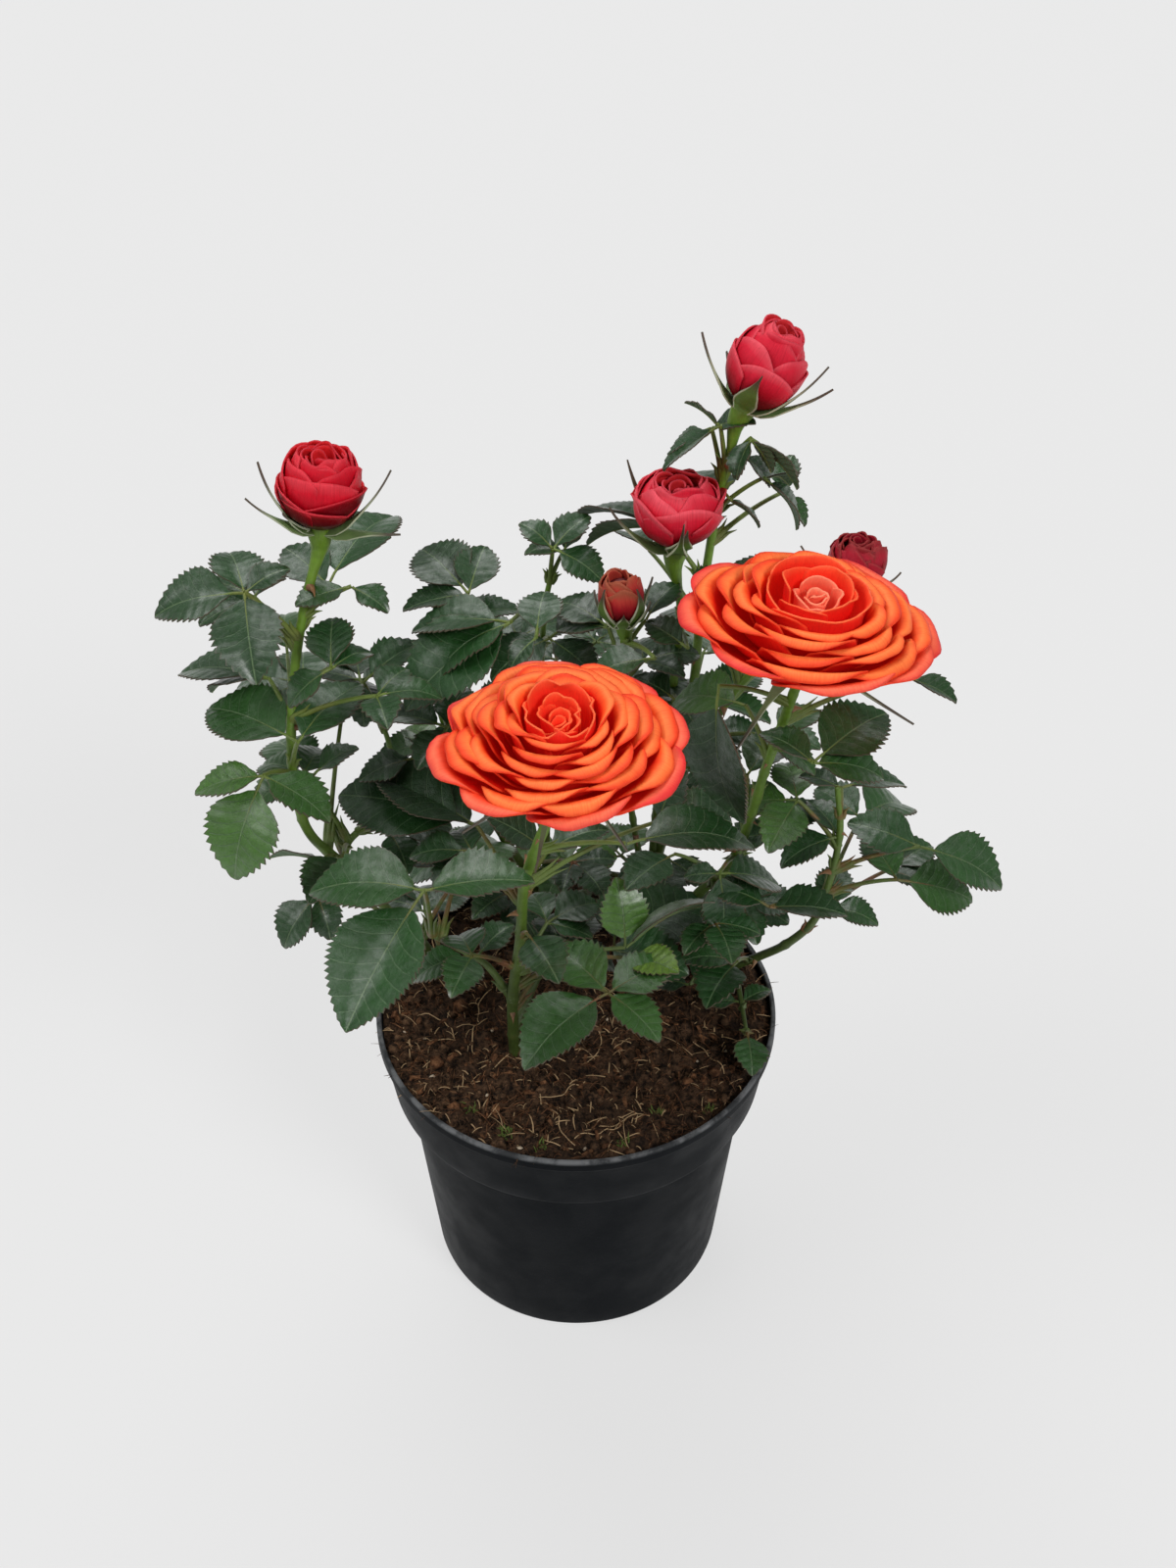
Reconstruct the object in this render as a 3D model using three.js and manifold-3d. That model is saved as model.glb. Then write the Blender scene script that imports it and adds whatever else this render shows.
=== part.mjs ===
// A potted miniature rose: a thin nursery pot filled with peat, six rooted cuttings with toothed
// leaflets, two open blooms and five buds. Millimetres, +Z up, origin at the centre of the pot's base.

import * as THREE from "three";
import { mergeVertices } from "three/addons/utils/BufferGeometryUtils.js";
import Module from "manifold-3d";

const wasm = await Module();
wasm.setup();

// Pot
const RIM_RADIUS = 60;
const RIM_HEIGHT = 99.5;
const BAND_HEIGHT = 23.5;
const BAND_FOOT_RADIUS = 56.5;
const WALL_TOP_RADIUS = 52.3;
const BASE_RADIUS = 45.6;
const BASE_ROUNDING = 3;
const POT_WALL = 1.2;
const FLOOR_THICKNESS = 1.8;
const POT_SIDES = 32;
const DRAIN_HOLES = 6;
const DRAIN_RADIUS = 3.5;
const DRAIN_CIRCLE = 35;

// Soil
const SEAT_GAP = 0.3;
const SOIL_LEVEL = 96.5;
const MOUND_HEIGHT = 5;
const CLOD_HEIGHT = 1;
const FOOT_DEPTH = 10;
const FOOT_CLEARANCE = 0.4;
const SOIL_RADII = [0, 20, 42];

// Leaves
const RIB_THICKNESS = 1.3;
const WIDTH_TO_LENGTH = 0.6;
const WIDEST_LEAFLET = 24;
const LONG_LEAFLET = 24;
const SHORT_LEAFLET = 17;
const SIDE_STALK = 0.07;
const END_STALK = 0.14;
const STALK_WIDTH = 0.08;
const PETIOLE_RADIUS = 0.75;
const BASE_OFFSET = 0.25;
const PETIOLE_RISE = 12;
const LOWEST_STALK = 102;
const THORN_SPACING = 42;
const THORN_LENGTH = 4.2;
const THORN_RADIUS = 0.9;
const THORN_TURN = 2.4;
const THORN_DROOP = 0.35;
const CANE_STEP = 19;

// Blooms and buds
const HIP_LENGTH = 7;
const PETAL_THICKNESS = 1.3;
const PETAL_LEAN = 1.3;
const SEPAL_WIDTH = 3.6;
const SEPAL_THICKNESS = 1.1;
const SEPAL_CLEARANCE = 2;
const BLOOM_SEPAL_BEND = 4;
const SMALL_CORE = 0.72;

const COLOURS = {
  pot: { color: 0x1a1b1f, roughness: 0.62, metalness: 0 },
  soil: { color: 0x33251d, roughness: 0.95, metalness: 0 },
  green: { color: 0x3f5f43, roughness: 0.42, metalness: 0 },
  orange: { color: 0xff6532, roughness: 0.55, metalness: 0 },
  red: { color: 0xc9273a, roughness: 0.5, metalness: 0 },
  dry: { color: 0x5e1620, roughness: 0.8, metalness: 0 },
};

// Canes: the cutting each belongs to, its route from foot to end, and its radius at both.
const CANES = {
  left_main: {
    plant: "left",
    route: [[-35, 12, 94], [-51, 6, 127], [-65, 2, 154], [-73, -3, 171], [-75, -5, 184], [-75, -5, 203],
      [-74, 3, 218], [-70, 13, 238]],
    radii: [1.9, 1.3],
  },
  left_fork: {
    plant: "left",
    route: [[-65, 2, 154], [-64, 2, 163], [-59, 6, 167], [-52, 14, 175], [-52, 18, 186], [-54, 20, 193]],
    radii: [1.3, 0.8],
  },
  front_main: {
    plant: "front",
    route: [[-18, -17, 94], [-18, -19, 122], [-15, -24, 151], [-13, -33, 181], [-9, -42, 203]],
    radii: [2, 1.4],
  },
  front_side: {
    plant: "front",
    route: [[-18, -19, 121], [-25, -18, 135], [-32, -16, 139], [-40, -16, 145]],
    radii: [1.2, 1],
  },
  front_stub: {
    plant: "front",
    route: [[-18, -18, 108], [-9, -2, 120], [3, 12, 130]],
    radii: [1.6, 1.4],
  },
  right_main: {
    plant: "right",
    route: [[24, 15, 94], [33, 12, 129], [44, 8, 149], [48, 4, 167], [51, -4, 195], [54, -9, 215]],
    radii: [1.9, 1.3],
  },
  low_main: {
    plant: "low",
    route: [[43, 14, 94], [47, 10, 105], [55, 7, 113], [62, 4, 121], [69, 3, 131], [72, 2, 145], [74, 2, 167],
      [72, 2, 184]],
    radii: [1.8, 1],
  },
  low_shoot: {
    plant: "low",
    route: [[46, 11, 103], [48, 4, 107], [49, -6, 107], [50, -16, 105]],
    radii: [1.1, 0.7],
  },
  back_top: {
    plant: "back",
    route: [[21, 42, 94], [30, 40, 153], [34, 40, 193], [35, 41, 216], [37, 42, 238], [39, 43, 255],
      [41, 44, 264]],
    radii: [2, 1.2],
  },
  back_middle: {
    plant: "back",
    route: [[23, 42, 108], [25, 38, 158], [28, 36, 196], [29, 35, 221]],
    radii: [1.5, 1.2],
  },
  back_small: {
    plant: "back",
    route: [[22, 42, 104], [15, 34, 159], [11, 27, 198], [12, 22, 211]],
    radii: [1.3, 0.9],
  },
  back_dry: {
    plant: "back",
    route: [[30, 40, 153], [48, 38, 193], [65, 34, 216]],
    radii: [1.3, 1],
  },
  middle_left: {
    plant: "middle",
    route: [[-9, 45, 94], [-26, 34, 146], [-35, 26, 179], [-38, 24, 202], [-33, 28, 216], [-28, 34, 225]],
    radii: [1.8, 0.9],
  },
  middle_right: {
    plant: "middle",
    route: [[-10, 45, 100], [-9, 45, 149], [-10, 44, 187], [-8, 45, 217], [-6, 46, 226]],
    radii: [1.5, 0.9],
  },
  middle_stub: {
    plant: "middle",
    route: [[-9, 45, 100], [-1, 42, 104], [4, 40, 108]],
    radii: [1.9, 1.7],
  },
};

// Leaves of each cane: the fork where a leaf's leaflets meet, and the tip of each leaflet, the end
// one first. A fourth number turns a leaflet about its rib, in degrees.
const LEAVES = {
  left_main: [
    { fork: [-84, 6, 246], tips: [[-108, 4, 242], [-90, 24, 248], [-73, 12, 250], [-80, -14, 232]] },
    { fork: [-66, 28, 233], tips: [[-51, 58, 238], [-79, 42, 236]] },
    { fork: [-58, 16, 241], tips: [[-72, 9, 240], [-48, 11, 237]] },
    { fork: [-62, -6, 231], tips: [[-73, -12, 223], [-63, 11, 235], [-52, 2, 231]] },
    { fork: [-81, 8, 217], tips: [[-107, 17, 213], [-99, 15, 209]] },
    { fork: [-72, -10, 210], tips: [[-98, 6, 210], [-57, 10, 214]] },
    { fork: [-80, -20, 207], tips: [[-89, -36, 185], [-98, -23, 204], [-62, -30, 201]] },
    { fork: [-70, -6, 195], tips: [[-58, 0, 200]] },
    { fork: [-69, -10, 168], tips: [[-84, -7, 167, 50]] },
    { fork: [-72, -10, 155], tips: [[-82, -19, 143], [-68, -18, 145]] },
    { fork: [-66, 34, 188], tips: [[-82, 50, 178], [-86, 30, 186], [-58, 50, 184]] },
    { fork: [-48, 12, 160], tips: [[-40, 30, 152], [-62, 26, 160]] },
  ],
  left_fork: [
    { fork: [-57, 14, 211], tips: [[-42, 26, 216], [-57, 7, 201]] },
  ],
  front_main: [
    { fork: [-26, -15, 185], tips: [[-65, 1, 183], [-54, 2, 188]] },
    { fork: [13, -45, 206], tips: [[46, -40, 203]] },
    { fork: [9, -38, 145], tips: [[-14, -58, 138], [-6, -24, 149], [23, -51, 140], [27, -28, 147]] },
  ],
  front_side: [
    { fork: [-38, -45, 190], tips: [[-57, -75, 170], [-68, -42, 187], [-10, -41, 190]] },
    { fork: [-28, -14, 134], tips: [[-18, -5, 139]] },
    { fork: [-32, -8, 163], tips: [[-53, -1, 163]] },
  ],
  right_main: [
    { fork: [86, -2, 225], tips: [[99, -7, 221]] },
    { fork: [61, -22, 213], tips: [[81, -7, 219], [80, -22, 209], [48, -12, 215]] },
    { fork: [54, 12, 193], tips: [[69, 22, 195], [66, 4, 187]] },
    { fork: [48, 12, 180], tips: [[33, 25, 177], [37, 8, 173], [59, 26, 183]] },
    { fork: [58, 8, 162], tips: [[42, 8, 158], [70, 18, 165]] },
    { fork: [11, -6, 130], tips: [[13, 11, 139], [40, 8, 134], [25, -5, 127]] },
  ],
  low_main: [
    { fork: [73, 2, 184], tips: [[92, 8, 181], [62, 8, 184]] },
    { fork: [74, 2, 166], tips: [[57, -4, 161], [66, 14, 169]] },
    { fork: [97, 2, 162], tips: [[121, -5, 154], [77, 9, 165]] },
    { fork: [91, -2, 153], tips: [[114, -2, 146], [83, 13, 157]] },
    { fork: [54, -14, 154], tips: [[38, -9, 157], [76, -14, 152]] },
    { fork: [73, 4, 136], tips: [[88, 0, 134], [78, 18, 140]] },
    { fork: [84, 28, 150], tips: [[100, 44, 142], [72, 42, 150]] },
    { fork: [34, 2, 106], tips: [[45, 15, 111], [22, 4, 106]] },
  ],
  low_shoot: [
    { fork: [49, -6, 107], tips: [[39, -4, 105], [58, -1, 108]] },
    { fork: [50, -17, 106], tips: [[51, -31, 103]] },
  ],
  back_top: [
    { fork: [23, 48, 239], tips: [[0, 60, 237], [3, 53, 232]] },
    { fork: [36, 47, 270], tips: [[24, 49, 258], [47, 44, 274]] },
    { fork: [56, 50, 248], tips: [[63, 46, 240], [59, 59, 255]] },
    { fork: [44, 44, 264], tips: [[53, 43, 255]] },
    { fork: [38, 66, 182], tips: [[44, 88, 172], [22, 72, 182], [54, 70, 180]] },
    { fork: [24, 66, 144], tips: [[18, 90, 132], [40, 78, 140]] },
  ],
  back_middle: [
    { fork: [30, 22, 230], tips: [[44, 31, 235], [41, 19, 224]] },
    { fork: [28, 20, 200], tips: [[16, 27, 203], [36, 5, 195], [17, 15, 194]] },
    { fork: [30, 12, 224], tips: [[19, 20, 227]] },
  ],
  back_small: [
    { fork: [19, 23, 225], tips: [[28, 34, 230]] },
    { fork: [9, 20, 225], tips: [[-5, 31, 227], [-5, 25, 221]] },
    { fork: [21, 2, 228], tips: [[4, 0, 224]] },
    { fork: [17, 30, 190], tips: [[32, 40, 193], [11, 48, 190]] },
  ],
  back_dry: [
    { fork: [58, 24, 236], tips: [[41, 28, 240]] },
    { fork: [62, 56, 190], tips: [[78, 72, 180], [52, 66, 190]] },
  ],
  middle_left: [
    { fork: [-29, 34, 226], tips: [[-43, 53, 229], [-47, 31, 223], [-25, 50, 231]] },
    { fork: [-34, 2, 205], tips: [[-53, 10, 203], [-42, -7, 198], [-30, 17, 208]] },
    { fork: [-43, 4, 193], tips: [[-59, 0, 189]] },
    { fork: [-27, 20, 193], tips: [[-14, 32, 197], [-38, 8, 187]] },
    { fork: [-38, 62, 172], tips: [[-52, 80, 166], [-57, 58, 172]] },
  ],
  middle_right: [
    { fork: [-17, 18, 228], tips: [[-44, 21, 224], [-38, 7, 219], [-46, 2, 213]] },
    { fork: [-10, 10, 229], tips: [[-8, 26, 233], [-17, 5, 223]] },
    { fork: [-7, 30, 214], tips: [[8, 39, 218], [6, 19, 209], [-23, 19, 209]] },
    { fork: [-3, 46, 232], tips: [[7, 38, 228], [-14, 46, 232], [0, 56, 235]] },
    { fork: [-6, 68, 178], tips: [[-8, 92, 168], [-22, 76, 176], [10, 78, 178]] },
    { fork: [-20, 70, 140], tips: [[-26, 93, 128], [-40, 68, 138]] },
  ],
};

// Open blooms: the cane that ends in each, the top of its hip, the way it faces, and rings of petals
// from the heart out, each with its tip's reach from the axis, its tip's height, and its petals.
const BLOOMS = {
  bloom_front: {
    cane: "front_main",
    hip: [-3, -49, 235],
    facing: [0, -0.02, 1],
    rings: [[5, 18, 3], [12, 17.5, 5], [18.5, 14, 6], [25, 9.5, 7], [30.5, 4.5, 9]],
    overlap: 1.2,
    sepals: [[13, -50, 208], [-27, -48, 212], [-9, -62, 212], [-10, -32, 214]],
  },
  bloom_right: {
    cane: "right_main",
    hip: [57.5, -15, 244],
    facing: [0.12, 0.05, 1],
    rings: [[5, 18.5, 3], [11, 18, 4], [18, 14, 5], [25.5, 8.5, 7], [32, 3.5, 8]],
    overlap: 1.2,
    sepals: [[86, -18, 222], [40, -27, 219], [64, 8, 226], [43, 2, 228]],
  },
};

// Buds: the cane, the top of the hip, the way the bud faces, its radius and height, its outer petals
// and its sepals' tips.
const BUDS = {
  bud_left: {
    cane: "left_main", hip: [-65, 20, 258], facing: [0.1, 0, 1], radius: 11.2, height: 20, petals: 5,
    sepals: [[-78, 13, 280], [-45, 14, 277], [-82, 12, 270], [-44, 14, 258]],
  },
  bud_top: {
    cane: "back_top", hip: [45, 45, 279], facing: [0.42, 0, 1], radius: 10.4, height: 22, petals: 4,
    sepals: [[32, 42, 300], [66, 38, 286], [64, 35, 294], [40, 62, 284]],
  },
  bud_middle: {
    cane: "back_middle", hip: [27, 35, 242], facing: [0.03, 0, 1], radius: 12, height: 18, petals: 5,
    sepals: [[28, 17, 259], [9, 30, 256], [14, 49, 259], [41, 51, 249]],
  },
  bud_small: {
    cane: "back_small", hip: [13, 20, 228], facing: [-0.1, 0, 1], radius: 6, height: 14, petals: 3,
    sepals: [[5, 17, 239], [20, 13, 238], [21, 26, 237]],
  },
  bud_dry: {
    cane: "back_dry", hip: [74, 26, 235], facing: [0.1, 0.1, 1], radius: 8, height: 13, petals: 4,
    sepals: [[59, 24, 248], [86, 22, 241], [77, 40, 238]],
  },
};

const FLOWERS = { ...BLOOMS, ...BUDS };

const LARGEST_CRUMB = 0.5;

const point = (p) => new THREE.Vector3(p[0], p[1], p[2]);

// A random draw that is the same on every run.
function seeded(seed) {
  let state = seed;
  return () => {
    state = (state * 16807) % 2147483647;
    return state / 2147483647;
  };
}

// Solids

// A closed geometry as a solid that can be joined and cut.
function solidOf(geometry) {
  const bare = geometry.clone();
  bare.deleteAttribute("normal");
  bare.deleteAttribute("uv");
  const merged = mergeVertices(bare, 1e-4);
  return new wasm.Manifold(
    new wasm.Mesh({
      numProp: 3,
      vertProperties: new Float32Array(merged.attributes.position.array),
      triVerts: new Uint32Array(merged.index.array),
    }),
  );
}

// Joins pieces into one body, filling any hollow that the joining seals and dropping loose crumbs.
function joined(pieces) {
  const bodies = wasm.Manifold.union(pieces).decompose();
  const main = bodies.reduce((a, b) => (b.volume() > a.volume() ? b : a));
  const loose = bodies.filter((body) => body !== main && body.volume() > LARGEST_CRUMB);
  if (loose.length) throw new Error(`${loose.length} pieces don't touch the rest`);
  return main;
}

function meshOf(name, solid, finish) {
  const { numProp, vertProperties, triVerts } = solid.getMesh();
  const geometry = new THREE.BufferGeometry();
  const positions = new THREE.BufferAttribute(new Float32Array(vertProperties), numProp);
  geometry.setAttribute("position", positions);
  geometry.setIndex(new THREE.BufferAttribute(new Uint32Array(triVerts), 1));
  geometry.computeVertexNormals();
  const mesh = new THREE.Mesh(geometry, new THREE.MeshStandardMaterial(finish));
  mesh.name = name;
  return mesh;
}

// A tapering round stem along a curve, closed at both ends.
function stem(curve, footRadius, endRadius, sides, steps) {
  const shape = new THREE.CylinderGeometry(endRadius, footRadius, 1, sides, steps);
  const { normals, binormals } = curve.computeFrenetFrames(steps);
  const place = shape.attributes.position;
  for (let i = 0; i < place.count; i++) {
    const row = Math.round((place.getY(i) + 0.5) * steps);
    const spot = curve.getPointAt(row / steps);
    spot.addScaledVector(normals[row], place.getX(i));
    spot.addScaledVector(binormals[row], -place.getZ(i));
    place.setXYZ(i, spot.x, spot.y, spot.z);
  }
  return solidOf(shape);
}

// The triangles between two chains of corners that share their first and last one.
function zipped(inner, outer) {
  const faces = [];
  let i = 0;
  let j = 0;
  while (i < inner.length - 1 || j < outer.length - 1) {
    const innerNext = inner[Math.min(i + 1, inner.length - 1)];
    const outerNext = outer[Math.min(j + 1, outer.length - 1)];
    const stepInner = j === outer.length - 1 || (i < inner.length - 1 && innerNext.along < outerNext.along);
    const next = stepInner ? innerNext : outerNext;
    const face = [inner[i].corner, outer[j].corner, next.corner];
    if (new Set(face).size === 3) faces.push(face);
    if (stepInner) i++;
    else j++;
  }
  return faces;
}

// A thin blade, thickest along its rib: half is one side of its outline as [along, across] pairs
// between base and tip, ribs the places along the rib, and surface gives each spot of its middle.
function blade(half, ribs, surface, thickness) {
  const corners = [surface(0, 0), surface(1, 0)];
  const base = { along: 0, corner: 0 };
  const tip = { along: 1, corner: 1 };
  const add = (along, spot) => ({ along, corner: corners.push(spot) - 1 });
  const edge = (side) => half.map(([along, across]) => add(along, surface(along, side * across)));
  const ribFace = (side) =>
    ribs.map((along) => {
      const reach = 0.02;
      const forward = surface(along + reach, 0).sub(surface(along - reach, 0));
      const sideways = surface(along, reach).sub(surface(along, -reach));
      const up = sideways.cross(forward).normalize();
      return add(along, surface(along, 0).addScaledVector(up, (side * thickness) / 2));
    });
  const right = [base, ...edge(1), tip];
  const left = [base, ...edge(-1), tip];
  const top = [base, ...ribFace(1), tip];
  const bottom = [base, ...ribFace(-1), tip];
  const flipped = (faces) => faces.map(([a, b, c]) => [a, c, b]);
  const faces = [
    ...zipped(top, right),
    ...flipped(zipped(top, left)),
    ...flipped(zipped(bottom, right)),
    ...zipped(bottom, left),
  ];
  const geometry = new THREE.BufferGeometry();
  const places = corners.flatMap((c) => [c.x, c.y, c.z]);
  geometry.setAttribute("position", new THREE.Float32BufferAttribute(places, 3));
  geometry.setIndex(faces.flat());
  return solidOf(geometry);
}

// A lathed solid that stands on a point and faces a direction.
function lathed(profile, sides, foot, facing) {
  const turned = new THREE.LatheGeometry(profile.map(([r, z]) => new THREE.Vector2(r, z)), sides);
  const up = new THREE.Vector3(0, 1, 0);
  turned.applyQuaternion(new THREE.Quaternion().setFromUnitVectors(up, point(facing).normalize()));
  turned.translate(...foot);
  return solidOf(turned);
}

// Pot and soil

const rimFoot = RIM_HEIGHT - BAND_HEIGHT;

// The pot's wall radius at a height below the band.
function wallRadius(height) {
  return THREE.MathUtils.mapLinear(height, 0, rimFoot, BASE_RADIUS, WALL_TOP_RADIUS);
}

// The pot's band radius at a height on the band.
function bandRadius(height) {
  return THREE.MathUtils.mapLinear(height, rimFoot, RIM_HEIGHT, BAND_FOOT_RADIUS, RIM_RADIUS);
}

function upright(geometry) {
  return geometry.rotateX(Math.PI / 2);
}

function potSolid() {
  const shoulder = rimFoot + POT_WALL;
  const profile = [
    [0, 0],
    [BASE_RADIUS - BASE_ROUNDING, 0],
    [BASE_RADIUS - 0.3 * BASE_ROUNDING, 0.3 * BASE_ROUNDING],
    [wallRadius(BASE_ROUNDING), BASE_ROUNDING],
    [WALL_TOP_RADIUS, rimFoot],
    [BAND_FOOT_RADIUS, rimFoot],
    [RIM_RADIUS, RIM_HEIGHT],
    [RIM_RADIUS - POT_WALL, RIM_HEIGHT],
    [bandRadius(shoulder) - POT_WALL, shoulder],
    [WALL_TOP_RADIUS - POT_WALL, shoulder],
    [wallRadius(FLOOR_THICKNESS) - POT_WALL, FLOOR_THICKNESS],
    [0, FLOOR_THICKNESS],
  ];
  const shell = new THREE.LatheGeometry(profile.map(([r, z]) => new THREE.Vector2(r, z)), POT_SIDES);
  let pot = solidOf(upright(shell));
  for (let i = 0; i < DRAIN_HOLES; i++) {
    const turn = (2 * Math.PI * i) / DRAIN_HOLES;
    const hole = upright(new THREE.CylinderGeometry(DRAIN_RADIUS, DRAIN_RADIUS, 4 * FLOOR_THICKNESS, 6));
    hole.translate(DRAIN_CIRCLE * Math.cos(turn), DRAIN_CIRCLE * Math.sin(turn), 0);
    pot = pot.subtract(solidOf(hole));
  }
  return pot;
}

// The height of the soil: level at the front, mounded to the right and the back, and cloddy.
function soilHeight(x, y) {
  const reach = Math.hypot(x, y) / BAND_FOOT_RADIUS;
  const mound = MOUND_HEIGHT * Math.max(0, (0.8 * x + 0.6 * y) / BAND_FOOT_RADIUS) * (0.4 + 0.6 * reach);
  const clods = Math.sin(0.31 * x + 1.3) * Math.cos(0.27 * y - 0.6) + 0.5 * Math.sin(0.55 * y + 0.2 * x);
  return SOIL_LEVEL + mound + CLOD_HEIGHT * clods;
}

function soilSolid() {
  const shoulder = rimFoot + POT_WALL + SEAT_GAP;
  const inset = POT_WALL + SEAT_GAP;
  const edge = bandRadius(SOIL_LEVEL) - inset;
  const profile = [
    [0, FLOOR_THICKNESS + SEAT_GAP],
    [wallRadius(FLOOR_THICKNESS) - inset, FLOOR_THICKNESS + SEAT_GAP],
    [WALL_TOP_RADIUS - inset, shoulder],
    [bandRadius(shoulder) - inset, shoulder],
    [edge, SOIL_LEVEL],
    ...SOIL_RADII.map((r) => [r, SOIL_LEVEL]).reverse(),
  ];
  const turned = new THREE.LatheGeometry(profile.map(([r, z]) => new THREE.Vector2(r, z)), POT_SIDES);
  const body = upright(turned);
  const place = body.attributes.position;
  for (let i = 0; i < place.count; i++) {
    const [x, y, z] = [place.getX(i), place.getY(i), place.getZ(i)];
    if (Math.abs(z - SOIL_LEVEL) > 1e-3) continue;
    const height = Math.hypot(x, y) > edge - 1 ? SOIL_LEVEL : soilHeight(x, y);
    place.setZ(i, height);
  }
  const rooted = Object.keys(CANES).filter((name) => CANES[name].route[0][2] < SOIL_LEVEL);
  return rooted.reduce((soil, name) => soil.subtract(caneSolid(name, FOOT_CLEARANCE)), solidOf(body));
}

// Stems and leaves

// A cane's curve. One that starts at the soil goes on straight down into its hole, and one that
// carries a flower goes on into its hip.
function caneCurve(name, clearance) {
  const points = CANES[name].route.map(point);
  if (points[0].z < SOIL_LEVEL) {
    const foot = points[0].clone();
    foot.z -= FOOT_DEPTH + clearance;
    points.unshift(foot);
  }
  const flower = Object.values(FLOWERS).find(({ cane }) => cane === name);
  if (flower) {
    const below = point(flower.facing).normalize().multiplyScalar(-HIP_LENGTH);
    points.push(point(flower.hip).add(below), point(flower.hip).addScaledVector(below, 0.6));
  }
  return new THREE.CatmullRomCurve3(points, false, "centripetal");
}

const curves = Object.fromEntries(Object.keys(CANES).map((name) => [name, caneCurve(name, 0)]));

// A cane, or with some clearance the hole that it stands in.
function caneSolid(name, clearance) {
  const [foot, end] = CANES[name].radii;
  const steps = Math.max(3, Math.round(curves[name].getLength() / CANE_STEP));
  return stem(caneCurve(name, clearance), foot + clearance, end + clearance, 5, steps);
}

// Thorns down a cane that point a little down, each turned on from the last.
function thorns(name) {
  const curve = curves[name];
  const count = Math.floor(curve.getLength() / THORN_SPACING);
  const solids = [];
  for (let i = 1; i < count; i++) {
    const along = (i + 0.3) / count;
    const tangent = curve.getTangentAt(along);
    const side = new THREE.Vector3(Math.cos(THORN_TURN * i), Math.sin(THORN_TURN * i), 0);
    const aim = side.projectOnPlane(tangent).normalize().addScaledVector(tangent, -THORN_DROOP).normalize();
    const prick = new THREE.ConeGeometry(THORN_RADIUS, THORN_LENGTH, 3);
    prick.applyQuaternion(new THREE.Quaternion().setFromUnitVectors(new THREE.Vector3(0, 1, 0), aim));
    prick.translate(...curve.getPointAt(along).addScaledVector(aim, 0.4 * THORN_LENGTH));
    solids.push(solidOf(prick));
  }
  return solids;
}

// The share of a leaflet's half width that it has at a place along its rib.
function leafletBulge(along) {
  return Math.sin(Math.PI * along ** 0.82) ** 0.8;
}

// One side of a leaflet's outline: a thin stalk, then teeth that point to the tip.
function toothedHalf(teeth, stalk) {
  const half = [[stalk, STALK_WIDTH]];
  const add = (share, reach) => half.push([stalk + (1 - stalk) * share, reach * leafletBulge(share)]);
  for (let i = 0; i < teeth; i++) {
    add((i + 0.35) / (teeth + 0.35), i === 0 ? 0.95 : 0.84);
    add((i + 1) / (teeth + 0.35), 1.04);
  }
  return half;
}

// A leaflet from its base to its tip, arched, folded a little up from its rib, its face to the sky.
function leaflet(base, tip, stalk, turn, draw) {
  const length = base.distanceTo(tip);
  const width = Math.min(WIDEST_LEAFLET, length * WIDTH_TO_LENGTH);
  const axis = tip.clone().sub(base).normalize();
  const sky = new THREE.Vector3(0, 0, 1).projectOnPlane(axis).normalize();
  sky.applyAxisAngle(axis, THREE.MathUtils.degToRad(turn + 24 * (draw() - 0.5)));
  const across = new THREE.Vector3().crossVectors(axis, sky);
  const arch = length * (0.05 + 0.06 * draw());
  const fold = 0.1 + 0.2 * draw();
  const surface = (along, side) => {
    const rise = arch * 4 * along * (1 - along) + (fold * Math.abs(side) * width) / 2;
    return base
      .clone()
      .addScaledVector(axis, along * length)
      .addScaledVector(across, (side * width) / 2)
      .addScaledVector(sky, rise);
  };
  const teeth = length > LONG_LEAFLET ? 4 : length > SHORT_LEAFLET ? 3 : 2;
  return blade(toothedHalf(teeth, stalk), [stalk + 0.02, 0.5], surface, RIB_THICKNESS);
}

// A leaf: its stalk from the cane to just past the fork, and its leaflets.
function leafSolids(cane, { fork, tips }, draw) {
  const meet = point(fork);
  const below = meet.clone();
  below.z -= PETIOLE_RISE;
  const spots = curves[cane].getSpacedPoints(60).filter((spot) => spot.z > LOWEST_STALK);
  const start = spots.reduce((a, b) => (b.distanceTo(below) < a.distanceTo(below) ? b : a));
  const reach = start.distanceTo(meet);
  const bend = start.clone().lerp(meet, 0.5);
  bend.z += 0.12 * reach;
  const end = meet.clone().addScaledVector(meet.clone().sub(bend).normalize(), 0.8);
  const stalk = new THREE.QuadraticBezierCurve3(start, bend, end);
  const solids = [stem(stalk, PETIOLE_RADIUS * 1.2, PETIOLE_RADIUS, 3, 2)];
  tips.forEach(([x, y, z, turn = 0], i) => {
    const tip = new THREE.Vector3(x, y, z);
    const base = meet.clone().addScaledVector(tip.clone().sub(meet).normalize(), BASE_OFFSET);
    solids.push(leaflet(base, tip, i === 0 ? END_STALK : SIDE_STALK, turn, draw));
  });
  return solids;
}

// The swollen hip under a flower, flat on top.
function hip({ hip: top, facing }) {
  const up = point(facing).normalize();
  const foot = point(top).addScaledVector(up, -HIP_LENGTH);
  const profile = [
    [0, 0],
    [1.5, 0],
    [3, 0.6 * HIP_LENGTH],
    [2.9, HIP_LENGTH],
    [0, HIP_LENGTH],
  ];
  return lathed(profile, 6, foot.toArray(), facing);
}

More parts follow.
